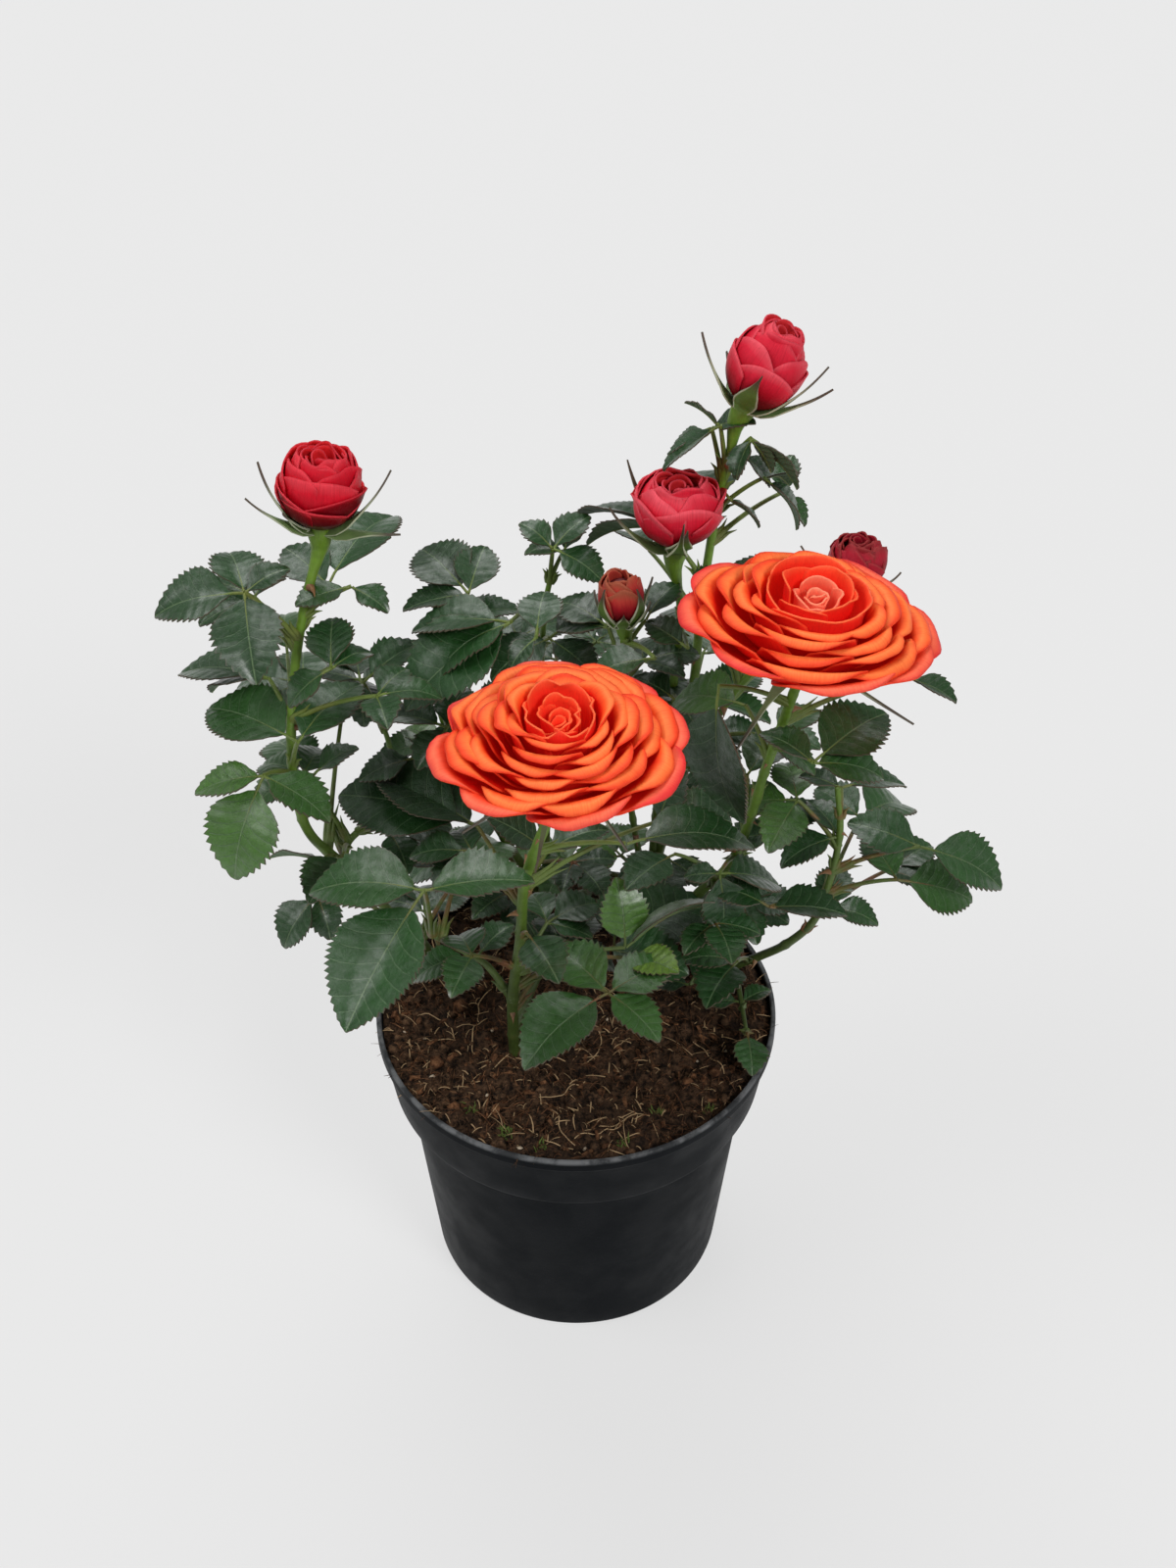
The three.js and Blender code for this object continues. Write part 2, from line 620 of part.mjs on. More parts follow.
// A sepal from the hip's edge to its tip, bent clear of a bud and turned down under a bloom.
function sepal({ hip: top, facing, radius }, tipAt) {
  const reach = radius ? radius + SEPAL_CLEARANCE : BLOOM_SEPAL_BEND;
  const up = point(facing).normalize();
  const tip = point(tipAt);
  const start = point(top).addScaledVector(up, -1.6);
  const out = tip.clone().sub(start).projectOnPlane(up).normalize();
  start.addScaledVector(out, 2);
  const rise = tip.clone().sub(start).dot(up);
  const bend = start.clone().addScaledVector(out, reach).addScaledVector(up, 0.25 * rise);
  const line = new THREE.QuadraticBezierCurve3(start, bend, tip);
  const across = new THREE.Vector3().crossVectors(out, up).normalize();
  const surface = (along, side) =>
    line.getPoint(THREE.MathUtils.clamp(along, 0, 1)).addScaledVector(across, (side * SEPAL_WIDTH) / 2);
  return blade([[0.15, 0.9], [0.6, 0.6]], [0.35], surface, SEPAL_THICKNESS);
}

// Flowers

// Moves a spot given by its reach, turn and height about a flower's axis to its place.
function flowerPlacer({ hip: top, facing }) {
  const up = new THREE.Vector3(0, 0, 1);
  const turn = new THREE.Quaternion().setFromUnitVectors(up, point(facing).normalize());
  const foot = point(top);
  return (reach, angle, height) => {
    const spot = new THREE.Vector3(reach * Math.cos(angle), reach * Math.sin(angle), height);
    return spot.applyQuaternion(turn).add(foot);
  };
}

const PETAL_HALF = [[0.3, 0.6], [0.75, 1], [0.96, 0.62]];
const PETAL_RIBS = [0.4, 0.8];

// An open bloom: rings of cupped petals, each with one side under its neighbour, round a domed core.
function bloomSolid(bloom) {
  const place = flowerPlacer(bloom);
  const draw = seeded(71);
  const outer = bloom.rings[bloom.rings.length - 1][0];
  const crown = bloom.rings[0][1];
  const profile = [
    [0, SEAT_GAP],
    [3.4, SEAT_GAP],
    [0.62 * outer, 0.05 * crown],
    [0.68 * outer, 0.3 * crown],
    [0.4 * outer, 0.7 * crown],
    [0, 0.82 * crown],
  ];
  const pieces = [lathed(profile, 10, bloom.hip, bloom.facing)];
  bloom.rings.forEach(([reach, height, count], ring) => {
    for (let i = 0; i < count; i++) {
      const angle = (2 * Math.PI * (i + 0.5 * (ring % 2) + 0.2 * (draw() - 0.5))) / count;
      const tipReach = reach * (1 + 0.05 * (draw() - 0.5));
      const tipHeight = height + 1.2 * (draw() - 0.5);
      const spread = (Math.PI / count) * bloom.overlap;
      const root = 0.4 * tipReach;
      const lift = THREE.MathUtils.mapLinear(reach, 0, outer, 12, 2.5);
      const surface = (along, side) => {
        const r = root + (tipReach * (1 - 0.04 * side * side) - root) * along ** 0.9;
        const h = tipHeight - lift + lift * along ** 1.3 + PETAL_LEAN * side * along;
        return place(Math.max(0.4, r), angle + side * spread, h);
      };
      pieces.push(blade(PETAL_HALF, PETAL_RIBS, surface, PETAL_THICKNESS));
    }
  });
  return joined(pieces);
}

// A bud's radius at a share of its height.
function budRadius(bud, share) {
  return bud.radius * Math.sin(Math.PI * Math.min(0.97, 0.06 + 0.86 * share) ** 0.92) ** 0.62;
}

// A bud: two rings of wrapped petals that stand off a smaller core.
function budSolid(bud) {
  const place = flowerPlacer(bud);
  const profile = [
    [0, SEAT_GAP],
    [0.26 * bud.radius, SEAT_GAP],
    ...[0.2, 0.5, 0.8].map((share) => [SMALL_CORE * budRadius(bud, share), SEAT_GAP + share * bud.height]),
    [0, SEAT_GAP + 0.9 * bud.height],
  ];
  const pieces = [lathed(profile, 7, bud.hip, bud.facing)];
  const wrap = (count, from, to, stand, shift) => {
    for (let i = 0; i < count; i++) {
      const angle = (2 * Math.PI * (i + shift)) / count;
      const spread = 0.95 * (Math.PI / count);
      const surface = (along, side) => {
        const share = from + (to - from) * along;
        const sunk = SMALL_CORE - 0.12;
        const r = budRadius(bud, share) * (sunk + (stand - sunk) * Math.min(1, 3 * along));
        return place(Math.max(0.5, r), angle + side * spread, 1 + SEAT_GAP + share * (bud.height - 1));
      };
      pieces.push(blade(PETAL_HALF, PETAL_RIBS, surface, PETAL_THICKNESS));
    }
  };
  wrap(bud.petals, 0.06, 0.92, 0.98, 0);
  wrap(bud.petals - 2, 0.6, 1.06, 0.9, 0.5);
  return joined(pieces);
}

// Cuttings

// One rooted cutting: its canes, thorns, leaves, hips and sepals, grown as one piece.
function cuttingSolid(plant) {
  const draw = seeded(17);
  const names = Object.keys(CANES).filter((name) => CANES[name].plant === plant);
  const flowers = Object.values(FLOWERS).filter(({ cane }) => names.includes(cane));
  return joined([
    ...names.map((name) => caneSolid(name, 0)),
    ...names.flatMap(thorns),
    ...names.flatMap((name) => (LEAVES[name] ?? []).flatMap((leaf) => leafSolids(name, leaf, draw))),
    ...flowers.map(hip),
    ...flowers.flatMap((flower) => flower.sepals.map((tip) => sepal(flower, tip))),
  ]);
}

const rose = new THREE.Group();
rose.add(meshOf("pot", potSolid(), COLOURS.pot));
rose.add(meshOf("soil", soilSolid(), COLOURS.soil));
for (const plant of new Set(Object.values(CANES).map((cane) => cane.plant))) {
  rose.add(meshOf(`cutting_${plant}`, cuttingSolid(plant), COLOURS.green));
}
for (const [name, bloom] of Object.entries(BLOOMS)) {
  rose.add(meshOf(name, bloomSolid(bloom), COLOURS.orange));
}
for (const [name, bud] of Object.entries(BUDS)) {
  rose.add(meshOf(name, budSolid(bud), name === "bud_dry" ? COLOURS.dry : COLOURS.red));
}

export default rose;
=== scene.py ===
import math

import bmesh
import bpy
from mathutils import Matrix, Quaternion, Vector, noise


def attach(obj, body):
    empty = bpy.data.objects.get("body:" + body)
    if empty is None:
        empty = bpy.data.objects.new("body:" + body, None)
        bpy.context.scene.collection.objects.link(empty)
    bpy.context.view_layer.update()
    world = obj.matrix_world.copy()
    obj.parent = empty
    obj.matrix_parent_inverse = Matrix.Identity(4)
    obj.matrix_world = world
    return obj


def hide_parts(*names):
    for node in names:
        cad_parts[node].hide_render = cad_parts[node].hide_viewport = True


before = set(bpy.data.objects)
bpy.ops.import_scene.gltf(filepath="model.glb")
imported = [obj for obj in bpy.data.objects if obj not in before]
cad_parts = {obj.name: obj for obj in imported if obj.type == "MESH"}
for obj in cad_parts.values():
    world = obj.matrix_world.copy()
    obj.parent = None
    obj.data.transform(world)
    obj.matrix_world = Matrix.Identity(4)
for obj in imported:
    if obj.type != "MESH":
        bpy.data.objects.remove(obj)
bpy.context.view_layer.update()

# Everything below is worked out in millimetres in the part's own frame, and each piece is brought to
# metres when it is finished.
MM = 0.001

# Pot and soil
RIM_RADIUS = 60
RIM_HEIGHT = 99.5
BAND_HEIGHT = 23.5
BAND_FOOT_RADIUS = 56.5
WALL_TOP_RADIUS = 52.3
BASE_RADIUS = 45.6
BASE_ROUNDING = 3
POT_WALL = 1.2
FLOOR_THICKNESS = 1.8
DRAIN_HOLES = 6
DRAIN_RADIUS = 3.5
DRAIN_CIRCLE = 35
SEAT_GAP = 0.3
SOIL_LEVEL = 96.5
MOUND_HEIGHT = 5
CLOD_HEIGHT = 1
FOOT_DEPTH = 10

# Leaves
WIDTH_TO_LENGTH = 0.72
WIDEST_LEAFLET = 27
LEAF_THICKNESS = 0.35
SIDE_STALK = 0.07
END_STALK = 0.14
PETIOLE_RISE = 12
LOWEST_STALK = 102
THORN_SPACING = 17
CANE_STEPS = 120

# A leaflet's teeth on each side, and its pairs of side veins, when it is longer than so many mm.
LEAFLET_TEETH = [(38, 22), (30, 16), (22, 13), (15, 10), (0, 7)]
VEIN_PAIRS = [(24, 8), (17, 7), (0, 6)]

# A leaf stalk's radius at shares of its length.
STALK_RADII = [(0, 1.3), (0.12, 0.9), (0.3, 0.7), (1, 0.55)]

# A thorn's line from the cane: how far out, how far down, and its radius there.
THORN_HOOK = [(0.0, 0.0, 1.15), (0.9, 0.1, 0.85), (1.9, 0.35, 0.5), (2.8, 0.85, 0.26), (3.5, 1.6, 0.05)]

# Flowers
HIP_LENGTH = 7
PETAL_THICKNESS = 0.45
SEPAL_THICKNESS = 0.5
SEPAL_CLEARANCE = 2
BLOOM_SEPAL_BEND = 4

# A hip's radius at distances down from its top, and how far down the plain cane begins.
WIDE_HIP = [(0, 3.3), (2, 3.5), (5, 2.9), (9, 1.9)]
WIDE_HIP_LENGTH = 14
SMALL_HIP = [(0, 2.6), (2, 2.7), (5, 2.0), (8, 1.3)]
SMALL_HIP_LENGTH = 12

# The share of its width that a sepal has at shares of its length.
SEPAL_WIDTHS = [(0, 0.8), (0.15, 1.0), (0.3, 0.9), (0.45, 0.55), (0.6, 0.26), (0.8, 0.15), (1, 0.05)]
HUGGING_WIDTHS = [(0, 0.6), (0.12, 0.92), (0.3, 1.0), (0.5, 0.74), (0.7, 0.34), (0.85, 0.13), (1, 0.04)]

# The share of an open petal's length at which it starts to roll out.
LIP_START = 0.6

# The usual tiers of a bud's petals: the shares of its height at which they start and end, how far out
# they stand, how wide and how rounded they are, and how far their tops flare.
TIERS = {
    "outer": {"foot": 0.03, "top": 0.62, "stand": 0.95, "spread": 1.12, "round": 0.3, "flare": 0.5},
    "second": {"foot": 0.05, "top": 0.8, "stand": 0.9, "spread": 1.15, "round": 0.26, "flare": 0.35},
    "third": {"foot": 0.1, "top": 0.97, "stand": 0.84, "spread": 1.15, "round": 0.22, "flare": 0.3},
    "fourth": {"foot": 0.3, "top": 1.02, "stand": 0.75, "spread": 1.1, "round": 0.16, "flare": 0.1},
}

# How far from the axis the peat is rough and its litter lies, and how much litter there is.
PEAT_REACH = 57.5
LITTER_REACH = 56.8
CRUMBS, CHIPS, FIBRES, ROOT_THREADS = 620, 170, 4800, 26

# How fine the net of a leaf's face and the grain of the peat are.
NET_SCALE = 1400.0
PEAT_SCALE = 520.0

# The numbers of the finishes in the lists of the pieces.
CANE, STALK, THORN = range(3)
LEAF_FACE, LEAF_BACK, LEAF_EDGE, SEPAL, SEPAL_INSIDE = range(5)
HEART_PETAL, PETAL_BACK, HEART_EDGE, OUTER_PETAL, OUTER_EDGE = range(5)
PALE_PETAL, PALE_EDGE, LOWEST_PETAL, PETAL_FOOT = range(5, 9)
BUD_OUTSIDE, BUD_INSIDE, BUD_EDGE, BUD_HEART, BUD_LOWER_SHADED = range(5)
CRUMB, CHIP, FLECK, THREAD = range(4)

# Floor, light and camera: each light's direction, strength and spread in degrees. The camera's place
# is in metres, and it looks down by so many degrees.
FLOOR_GREY, FLOOR_GLOW, SKY_STRENGTH = 0.16, 0.63, 0.18
LIGHTS = {
    "window": ((0.72, -0.85, 0.92), 1.6, 20),
    "ceiling": ((-0.12, 0.55, 0.84), 1.4, 40),
    "left wall": ((-0.75, -0.2, 0.75), 1.2, 40),
}
CAMERA_PLACE, LOOK_DOWN = (0.0036, -0.405, 0.534), 40.6
FOCAL_LENGTH, FILM_HEIGHT = 45, 36

# Each cane: its cutting, its radius at the foot and at the end, and points down its middle.
CANES = {
    "left_main": ("left", 1.9, 1.3, [(-35, 12, 94), (-51, 6, 127), (-65, 2, 154), (-73, -3, 171),
        (-75, -5, 184), (-75, -5, 203), (-74, 3, 218), (-70, 13, 238)]),
    "left_fork": ("left", 1.3, 0.8, [(-65, 2, 154), (-64, 2, 163), (-59, 6, 167), (-52, 14, 175),
        (-52, 18, 186), (-54, 20, 193)]),
    "front_main": ("front", 2, 1.4, [(-18, -17, 94), (-18, -19, 122), (-15, -24, 151), (-13, -33, 181),
        (-9, -42, 203)]),
    "front_side": ("front", 1.2, 1, [(-18, -19, 121), (-25, -18, 135), (-32, -16, 139), (-40, -16, 145)]),
    "front_stub": ("front", 1.6, 1.4, [(-18, -18, 108), (-9, -2, 120), (3, 12, 130)]),
    "right_main": ("right", 1.9, 1.3, [(24, 15, 94), (33, 12, 129), (44, 8, 149), (48, 4, 167),
        (51, -4, 195), (54, -9, 215)]),
    "low_main": ("low", 1.8, 1, [(43, 14, 94), (47, 10, 105), (55, 7, 113), (62, 4, 121), (69, 3, 131),
        (72, 2, 145), (74, 2, 167), (72, 2, 184)]),
    "low_shoot": ("low", 1.1, 0.7, [(46, 11, 103), (48, 4, 107), (49, -6, 107), (50, -16, 105)]),
    "back_top": ("back", 2, 1.2, [(21, 42, 94), (30, 40, 153), (34, 40, 193), (35, 41, 216), (37, 42, 238),
        (39, 43, 255), (41, 44, 264)]),
    "back_middle": ("back", 1.5, 1.2, [(23, 42, 108), (25, 38, 158), (28, 36, 196), (29, 35, 221)]),
    "back_small": ("back", 1.3, 0.9, [(22, 42, 104), (15, 34, 159), (11, 27, 198), (12, 22, 211)]),
    "back_dry": ("back", 1.3, 1, [(30, 40, 153), (48, 38, 193), (65, 34, 216)]),
    "middle_left": ("middle", 1.8, 0.9, [(-9, 45, 94), (-26, 34, 146), (-35, 26, 179), (-38, 24, 202),
        (-33, 28, 216), (-28, 34, 225)]),
    "middle_right": ("middle", 1.5, 0.9, [(-10, 45, 100), (-9, 45, 149), (-10, 44, 187), (-8, 45, 217),
        (-6, 46, 226)]),
    "middle_stub": ("middle", 1.9, 1.7, [(-9, 45, 100), (-1, 42, 104), (4, 40, 108)]),
}

# The leaves of each cane: the fork where a leaf's leaflets meet, the tip of each leaflet, the end one
# first, and last the leaf's tone where it has one, its own colour save where painted shade is noted. A
# tip's fourth number turns its leaflet about its rib, in degrees.
LEAVES = {
    "left_main": [
        ((-84, 6, 246), (-108, 4, 242), (-90, 24, 248), (-73, 12, 250), (-80, -14, 232)),
        ((-66, 28, 233), (-51, 58, 238), (-79, 42, 236)),
        ((-58, 16, 241), (-72, 9, 240), (-48, 11, 237)),
        ((-62, -6, 231), (-73, -12, 223), (-63, 11, 235), (-52, 2, 231)),
        ((-81, 8, 217), (-107, 17, 213), (-99, 15, 209)),
        ((-72, -10, 210), (-98, 6, 210), (-57, 10, 214)),
        ((-80, -20, 207), (-89, -36, 185), (-98, -23, 204), (-62, -30, 201)),
        ((-70, -6, 195), (-58, 0, 200)),
        ((-69, -10, 168), (-84, -7, 167, 50)),
        ((-72, -10, 155), (-82, -19, 143), (-68, -18, 145)),
        ((-66, 34, 188), (-82, 50, 178), (-86, 30, 186), (-58, 50, 184)),
        ((-48, 12, 160), (-40, 30, 152), (-62, 26, 160)),
    ],
    "left_fork": [
        ((-57, 14, 211), (-42, 26, 216), (-57, 7, 201)),
    ],
    "front_main": [
        ((-26, -15, 185), (-65, 1, 183), (-54, 2, 188)),
        ((13, -45, 206), (46, -40, 203, -20)),
        ((9, -38, 145), (-14, -58, 138), (-6, -24, 149), (23, -51, 140), (27, -28, 147), 0.46),
    ],
    "front_side": [
        ((-38, -45, 190), (-57, -75, 170), (-68, -42, 187), (-10, -41, 190), 0.3),
        ((-28, -14, 134), (-18, -5, 139)),
        ((-32, -8, 163), (-53, -1, 163)),
    ],
    "right_main": [
        ((86, -2, 225), (99, -7, 221)),
        ((61, -22, 213), (81, -7, 219), (80, -22, 209), (48, -12, 215)),
        ((54, 12, 193), (69, 22, 195), (66, 4, 187)),
        ((48, 12, 180), (33, 25, 177), (37, 8, 173), (59, 26, 183)),
        ((58, 8, 162), (42, 8, 158), (70, 18, 165)),
        ((11, -6, 130), (13, 11, 139), (40, 8, 134), (25, -5, 127)),
    ],
    "low_main": [
        ((73, 2, 184), (92, 8, 181), (62, 8, 184)),
        ((74, 2, 166), (57, -4, 161), (66, 14, 169)),
        ((97, 2, 162), (121, -5, 154, 16), (77, 9, 165)),
        ((91, -2, 153), (114, -2, 146, 16), (83, 13, 157)),
        ((54, -14, 154), (38, -9, 157), (76, -14, 152)),
        ((73, 4, 136), (88, 0, 134), (78, 18, 140)),
        ((84, 28, 150), (100, 44, 142), (72, 42, 150)),
        ((34, 2, 106), (45, 15, 111), (22, 4, 106)),
    ],
    "low_shoot": [
        ((49, -6, 107), (39, -4, 105), (58, -1, 108)),
        ((50, -17, 106), (51, -31, 103)),
    ],
    "back_top": [
        ((23, 48, 239), (0, 60, 237, 36), (3, 53, 232, 30)),
        ((36, 47, 270), (24, 49, 258), (47, 44, 274)),
        ((56, 50, 248), (63, 46, 240), (59, 59, 255)),
        ((44, 44, 264), (53, 43, 255)),
        ((38, 66, 182), (44, 88, 172), (22, 72, 182), (54, 70, 180)),
        ((24, 66, 144), (18, 90, 132), (40, 78, 140)),
    ],
    "back_middle": [
        ((30, 22, 230), (44, 31, 235), (41, 19, 224)),
        ((28, 20, 200), (16, 27, 203), (36, 5, 195), (17, 15, 194)),
        ((30, 12, 224), (19, 20, 227)),
    ],
    "back_small": [
        ((19, 23, 225), (28, 34, 230)),
        ((9, 20, 225), (-5, 31, 227), (-5, 25, 221)),
        ((21, 2, 228), (4, 0, 224)),
        ((17, 30, 190), (32, 40, 193), (11, 48, 190)),
    ],
    "back_dry": [
        ((58, 24, 236), (41, 28, 240)),
        ((62, 56, 190), (78, 72, 180), (52, 66, 190)),
    ],
    "middle_left": [
        ((-29, 34, 226), (-43, 53, 229), (-47, 31, 223), (-25, 50, 231)),
        ((-34, 2, 205), (-53, 10, 203), (-42, -7, 198), (-30, 17, 208)),
        ((-43, 4, 193), (-59, 0, 189)),
        ((-27, 20, 193), (-14, 32, 197), (-38, 8, 187)),
        ((-38, 62, 172), (-52, 80, 166), (-57, 58, 172)),
    ],
    "middle_right": [
        ((-17, 18, 228), (-44, 21, 224), (-38, 7, 219), (-46, 2, 213)),
        ((-10, 10, 229), (-8, 26, 233), (-17, 5, 223)),
        ((-7, 30, 214), (8, 39, 218), (6, 19, 209), (-23, 19, 209)),
        ((-3, 46, 232), (7, 38, 228), (-14, 46, 232), (0, 56, 235)),
        ((-6, 68, 178), (-8, 92, 168), (-22, 76, 176), (10, 78, 178)),
        ((-20, 70, 140), (-26, 93, 128), (-40, 68, 138)),
    ],
}

# Each flower: its cane, where its hip ends, the way it faces, and the tips of its sepals.
BLOOMS = {
  "bloom_front": {
    "cane": "front_main",
    "hip": [-3, -49, 235],
    "facing": [0, -0.02, 1],
    "sepals": [[13, -50, 208], [-27, -48, 212], [-9, -62, 212], [-10, -32, 214]],
  },
  "bloom_right": {
    "cane": "right_main",
    "hip": [57.5, -15, 244],
    "facing": [0.12, 0.05, 1],
    "sepals": [[86, -18, 222], [40, -27, 219], [64, 8, 226], [43, 2, 228]],
  },
}

BUDS = {
  "bud_left": {
    "cane": "left_main", "hip": [-65, 20, 258], "facing": [0.1, 0, 1], "radius": 11.2, "height": 20,
    "profile": [(0, 0.3), (0.08, 0.54), (0.24, 0.83), (0.44, 0.97), (0.64, 0.98), (0.82, 0.88), (0.94, 0.74),
      (1.1, 0.46)],
    "sepals": [[-78, 13, 280], [-45, 14, 277], [-82, 12, 270], [-44, 14, 258]],
  },
  "bud_top": {
    "cane": "back_top", "hip": [45, 45, 279], "facing": [0.42, 0, 1], "radius": 10.4, "height": 22,
    "sepals": [[32, 42, 300], [66, 38, 286], [64, 35, 294], [40, 62, 284]],
  },
  "bud_middle": {
    "cane": "back_middle", "hip": [27, 35, 242], "facing": [0.03, 0, 1], "radius": 12, "height": 18,
    "profile": [(0, 0.28), (0.1, 0.5), (0.28, 0.8), (0.48, 0.97), (0.64, 1.0), (0.8, 0.93), (0.92, 0.76),
      (1.1, 0.42)],
    "sepals": [[28, 17, 259], [9, 30, 256], [14, 49, 259], [41, 51, 249]],
  },
  "bud_small": {
    "cane": "back_small", "hip": [13, 20, 228], "facing": [-0.1, 0, 1], "radius": 6, "height": 14,
    "sepals": [[5, 17, 239], [20, 13, 238], [21, 26, 237]],
  },
  "bud_dry": {
    "cane": "back_dry", "hip": [74, 26, 235], "facing": [0.1, 0.1, 1], "radius": 8, "height": 13,
    "sepals": [[59, 24, 248], [86, 22, 241], [77, 40, 238]],
  },
}

# Sepals that lie on the buds, by the cane: turn about the bud, share of its height, width in mm.
HUGGING_SEPALS = {
  "left_main": [(-150, 0.3, 6), (60, 0.4, 6)],
  "back_top": [(-112, 0.58, 6.8), (60, 0.5, 6.2)],
  "back_middle": [(-88, 0.66, 7.4), (80, 0.5, 6.2)],
  "back_small": [(-140, 0.85, 4.6), (-48, 0.8, 4.6), (80, 0.8, 4.6), (-92, 0.4, 3.6)],
  "back_dry": [(-160, 0.7, 4.4), (20, 0.6, 4.4)],
}

# Further leaves, which make the foliage denser, in the same form as the leaves above.
MORE_LEAVES = {
    "left_main": [
        ((-46, 22, 117), (-49, 39, 113), (-58, 30, 114), (-33, 32, 116)),
        ((-84, 17, 237), (-98, 28, 234), (-98, 10, 233), (-80, 31, 235)),
        ((-51, -6, 222), (-34, -5, 222), (-44, 6, 222), (-47, -20, 223)),
        ((-78, 22, 214), (-81, 41, 216)),
        ((-65, 14, 130), (-82, 27, 131)),
        ((-34, 14, 140), (-23, 38, 134)),
    ],
    "left_fork": [
        ((-76, 14, 179), (-90, 25, 174), (-90, 6, 174), (-73, 31, 175)),
        ((-61, 36, 195), (-65, 54, 191), (-75, 40, 195), (-50, 45, 190)),
        ((-76, 28, 200), (-97, 35, 194), (-93, 16, 196), (-78, 47, 198)),
        ((-51, -4, 173), (-34, 1, 171), (-45, -17, 170)),
        ((-77, 22, 172), (-88, 42, 169)),
        ((-62, -17, 177), (-70, -33, 174)),
    ],
    "front_main": [
        ((-8, -6, 140), (7, 4, 139), (-13, 8, 138), (5, -10, 138)),
        ((-27, -23, 183), (-44, -22, 181), (-37, -34, 180), (-32, -10, 180)),
        ((-28, -29, 150), (-45, -32, 144), (-33, -44, 150), (-33, -14, 144)),
        ((-4, -7, 131), (6, 8, 129), (-10, 7, 131), (12, -10, 126)),
        ((7, -14, 138), (32, -21, 135)),
        ((-13, -32, 162), (-4, -48, 160)),
        # The next two leaves lie under the front bloom; their very dark tone of 0.04 is painted shade.
        ((22, -20, 191), (43, -13, 186, 12), (29, -15, 205), 0.04),
        ((-7, -27, 187), (-23, -25, 198), (9, -21, 190), 0.04),
        ((14, -19, 143), (12, -10, 161), (44, -8, 152, -38), 0.62),
        ((14, -24, 144), (28, -33, 149), 0.8),
    ],
    "right_main": [
        ((36, -20, 236), (42, -31, 199, 74), 0.2),
        ((40, -10, 163), (58, -3, 152), (42, -14, 144), (30, -8, 160), 0.1),
        ((39, -14, 148), (43, -30, 148), (52, -16, 146), (30, -24, 146)),
        ((49, 12, 131), (66, 10, 132), (60, 23, 128), (53, -1, 126)),
        ((45, -1, 215), (26, 12, 208)),
        ((28, 0, 161), (14, -14, 161)),
    ],
    "low_main": [
        ((62, 7, 175), (41, 10, 169), (53, -9, 170), (60, 24, 176)),
        ((92, 16, 140), (106, 26, 141), (103, 9, 140)),
        ((47, -5, 123), (37, -23, 125), (30, -6, 125)),
    ],
    "back_top": [
        ((38, 43, 273), (23, 39, 262, 20), (29, 47, 278, 30), 0.3),
        ((46, 40, 271), (59, 35, 259, -25), (52, 38, 262, -40), (42, 34, 262, 20), 0.26),
        ((50, 40, 259), (61, 37, 246, -30), (58, 50, 252, -20), 0.26),
        ((41, 38, 254), (31, 56, 252, 20), (50, 36, 247, -20), 0.3),
        ((42, 27, 122), (64, 15, 120), (60, 36, 120), (35, 6, 121)),
        ((21, 61, 222), (14, 79, 217)),
        ((28, 53, 164), (30, 75, 157)),
    ],
    "back_middle": [
        ((39, 38, 172), (56, 41, 171), (48, 51, 168), (46, 26, 168)),
        ((28, 28, 133), (25, 10, 132), (39, 20, 130), (12, 26, 128)),
        ((14, 47, 117), (4, 65, 111), (-2, 42, 118), (21, 61, 118)),
        ((41, 53, 174), (55, 67, 175), (34, 66, 174), (58, 48, 170)),
        ((34, 45, 154), (54, 49, 147), (35, 60, 154), (42, 31, 154)),
    ],
    "back_small": [
        ((19, 29, 207), (35, 36, 205), (18, 43, 205), (30, 21, 208)),
        ((-2, 43, 118), (-21, 47, 118), (-10, 28, 116), (-9, 57, 114)),
    ],
    "back_dry": [
        ((52, 35, 176), (70, 26, 178)),
        ((42, 46, 207), (27, 66, 200)),
    ],
    "middle_left": [
        ((-1, 28, 132), (9, 14, 132), (12, 31, 131), (-4, 15, 132)),
        ((-40, 30, 176), (-57, 26, 175), (-41, 16, 177), (-50, 40, 175)),
        ((-32, 31, 219), (-34, 52, 212), (-14, 35, 220)),
    ],
    "middle_right": [
        ((-6, 44, 234), (8, 36, 229), (-15, 50, 239), (4, 52, 240), 0.2),
        ((-17, 57, 194), (-21, 76, 188), (-33, 65, 191), (-2, 68, 193)),
        ((6, 54, 195), (17, 69, 190), (-2, 65, 196), (20, 48, 194)),
        ((-21, 27, 120), (-12, 11, 118), (-31, 15, 121)),
        ((-29, 47, 120), (-54, 41, 113), (-37, 65, 115)),
    ],
}

# The rings of petals of the two open blooms, from the heart out: how far out and how high a petal's
# lip stands, how many petals, and how wide they are.
FRONT_RINGS = [
    (1.1, 15.4, 2, 5), (2.8, 16.4, 3, 8), (5.4, 17.6, 4, 11), (9.0, 19.0, 4, 18), (13.2, 16.6, 6, 18),
    (16.4, 15.2, 6, 20), (19.4, 13.8, 6, 22), (22.3, 12.4, 7, 22), (25.2, 11, 7, 24), (28, 9.4, 8, 24),
    (30.6, 7.6, 8, 26),
]
RIGHT_RINGS = [
    (1.2, 16.6, 2, 5), (3, 17.2, 3, 9), (5.8, 18.4, 4, 13), (9.2, 20, 4, 18), (13.2, 19.2, 4, 26),
    (17.6, 15.8, 6, 24), (21.4, 14, 6, 27), (25, 12.2, 7, 27), (28.6, 10.2, 7, 30), (32, 8, 8, 29),
]

# Where moss grows: reach, turn and number of stems.
MOSS_TUFTS = [
    (52, -112, 26), (54, -100, 14), (49, -128, 18), (53, -75, 16), (46, -60, 12), (54, -45, 14),
    (50, 20, 10), (44, 160, 10),
]


# Random draws, lines and meshes


def draws(seed):
    """A row of random numbers from 0 to 1 that is the same on every run."""
    state = seed

    def draw():
        nonlocal state
        state = (state * 16807) % 2147483647
        return state / 2147483647

    return draw


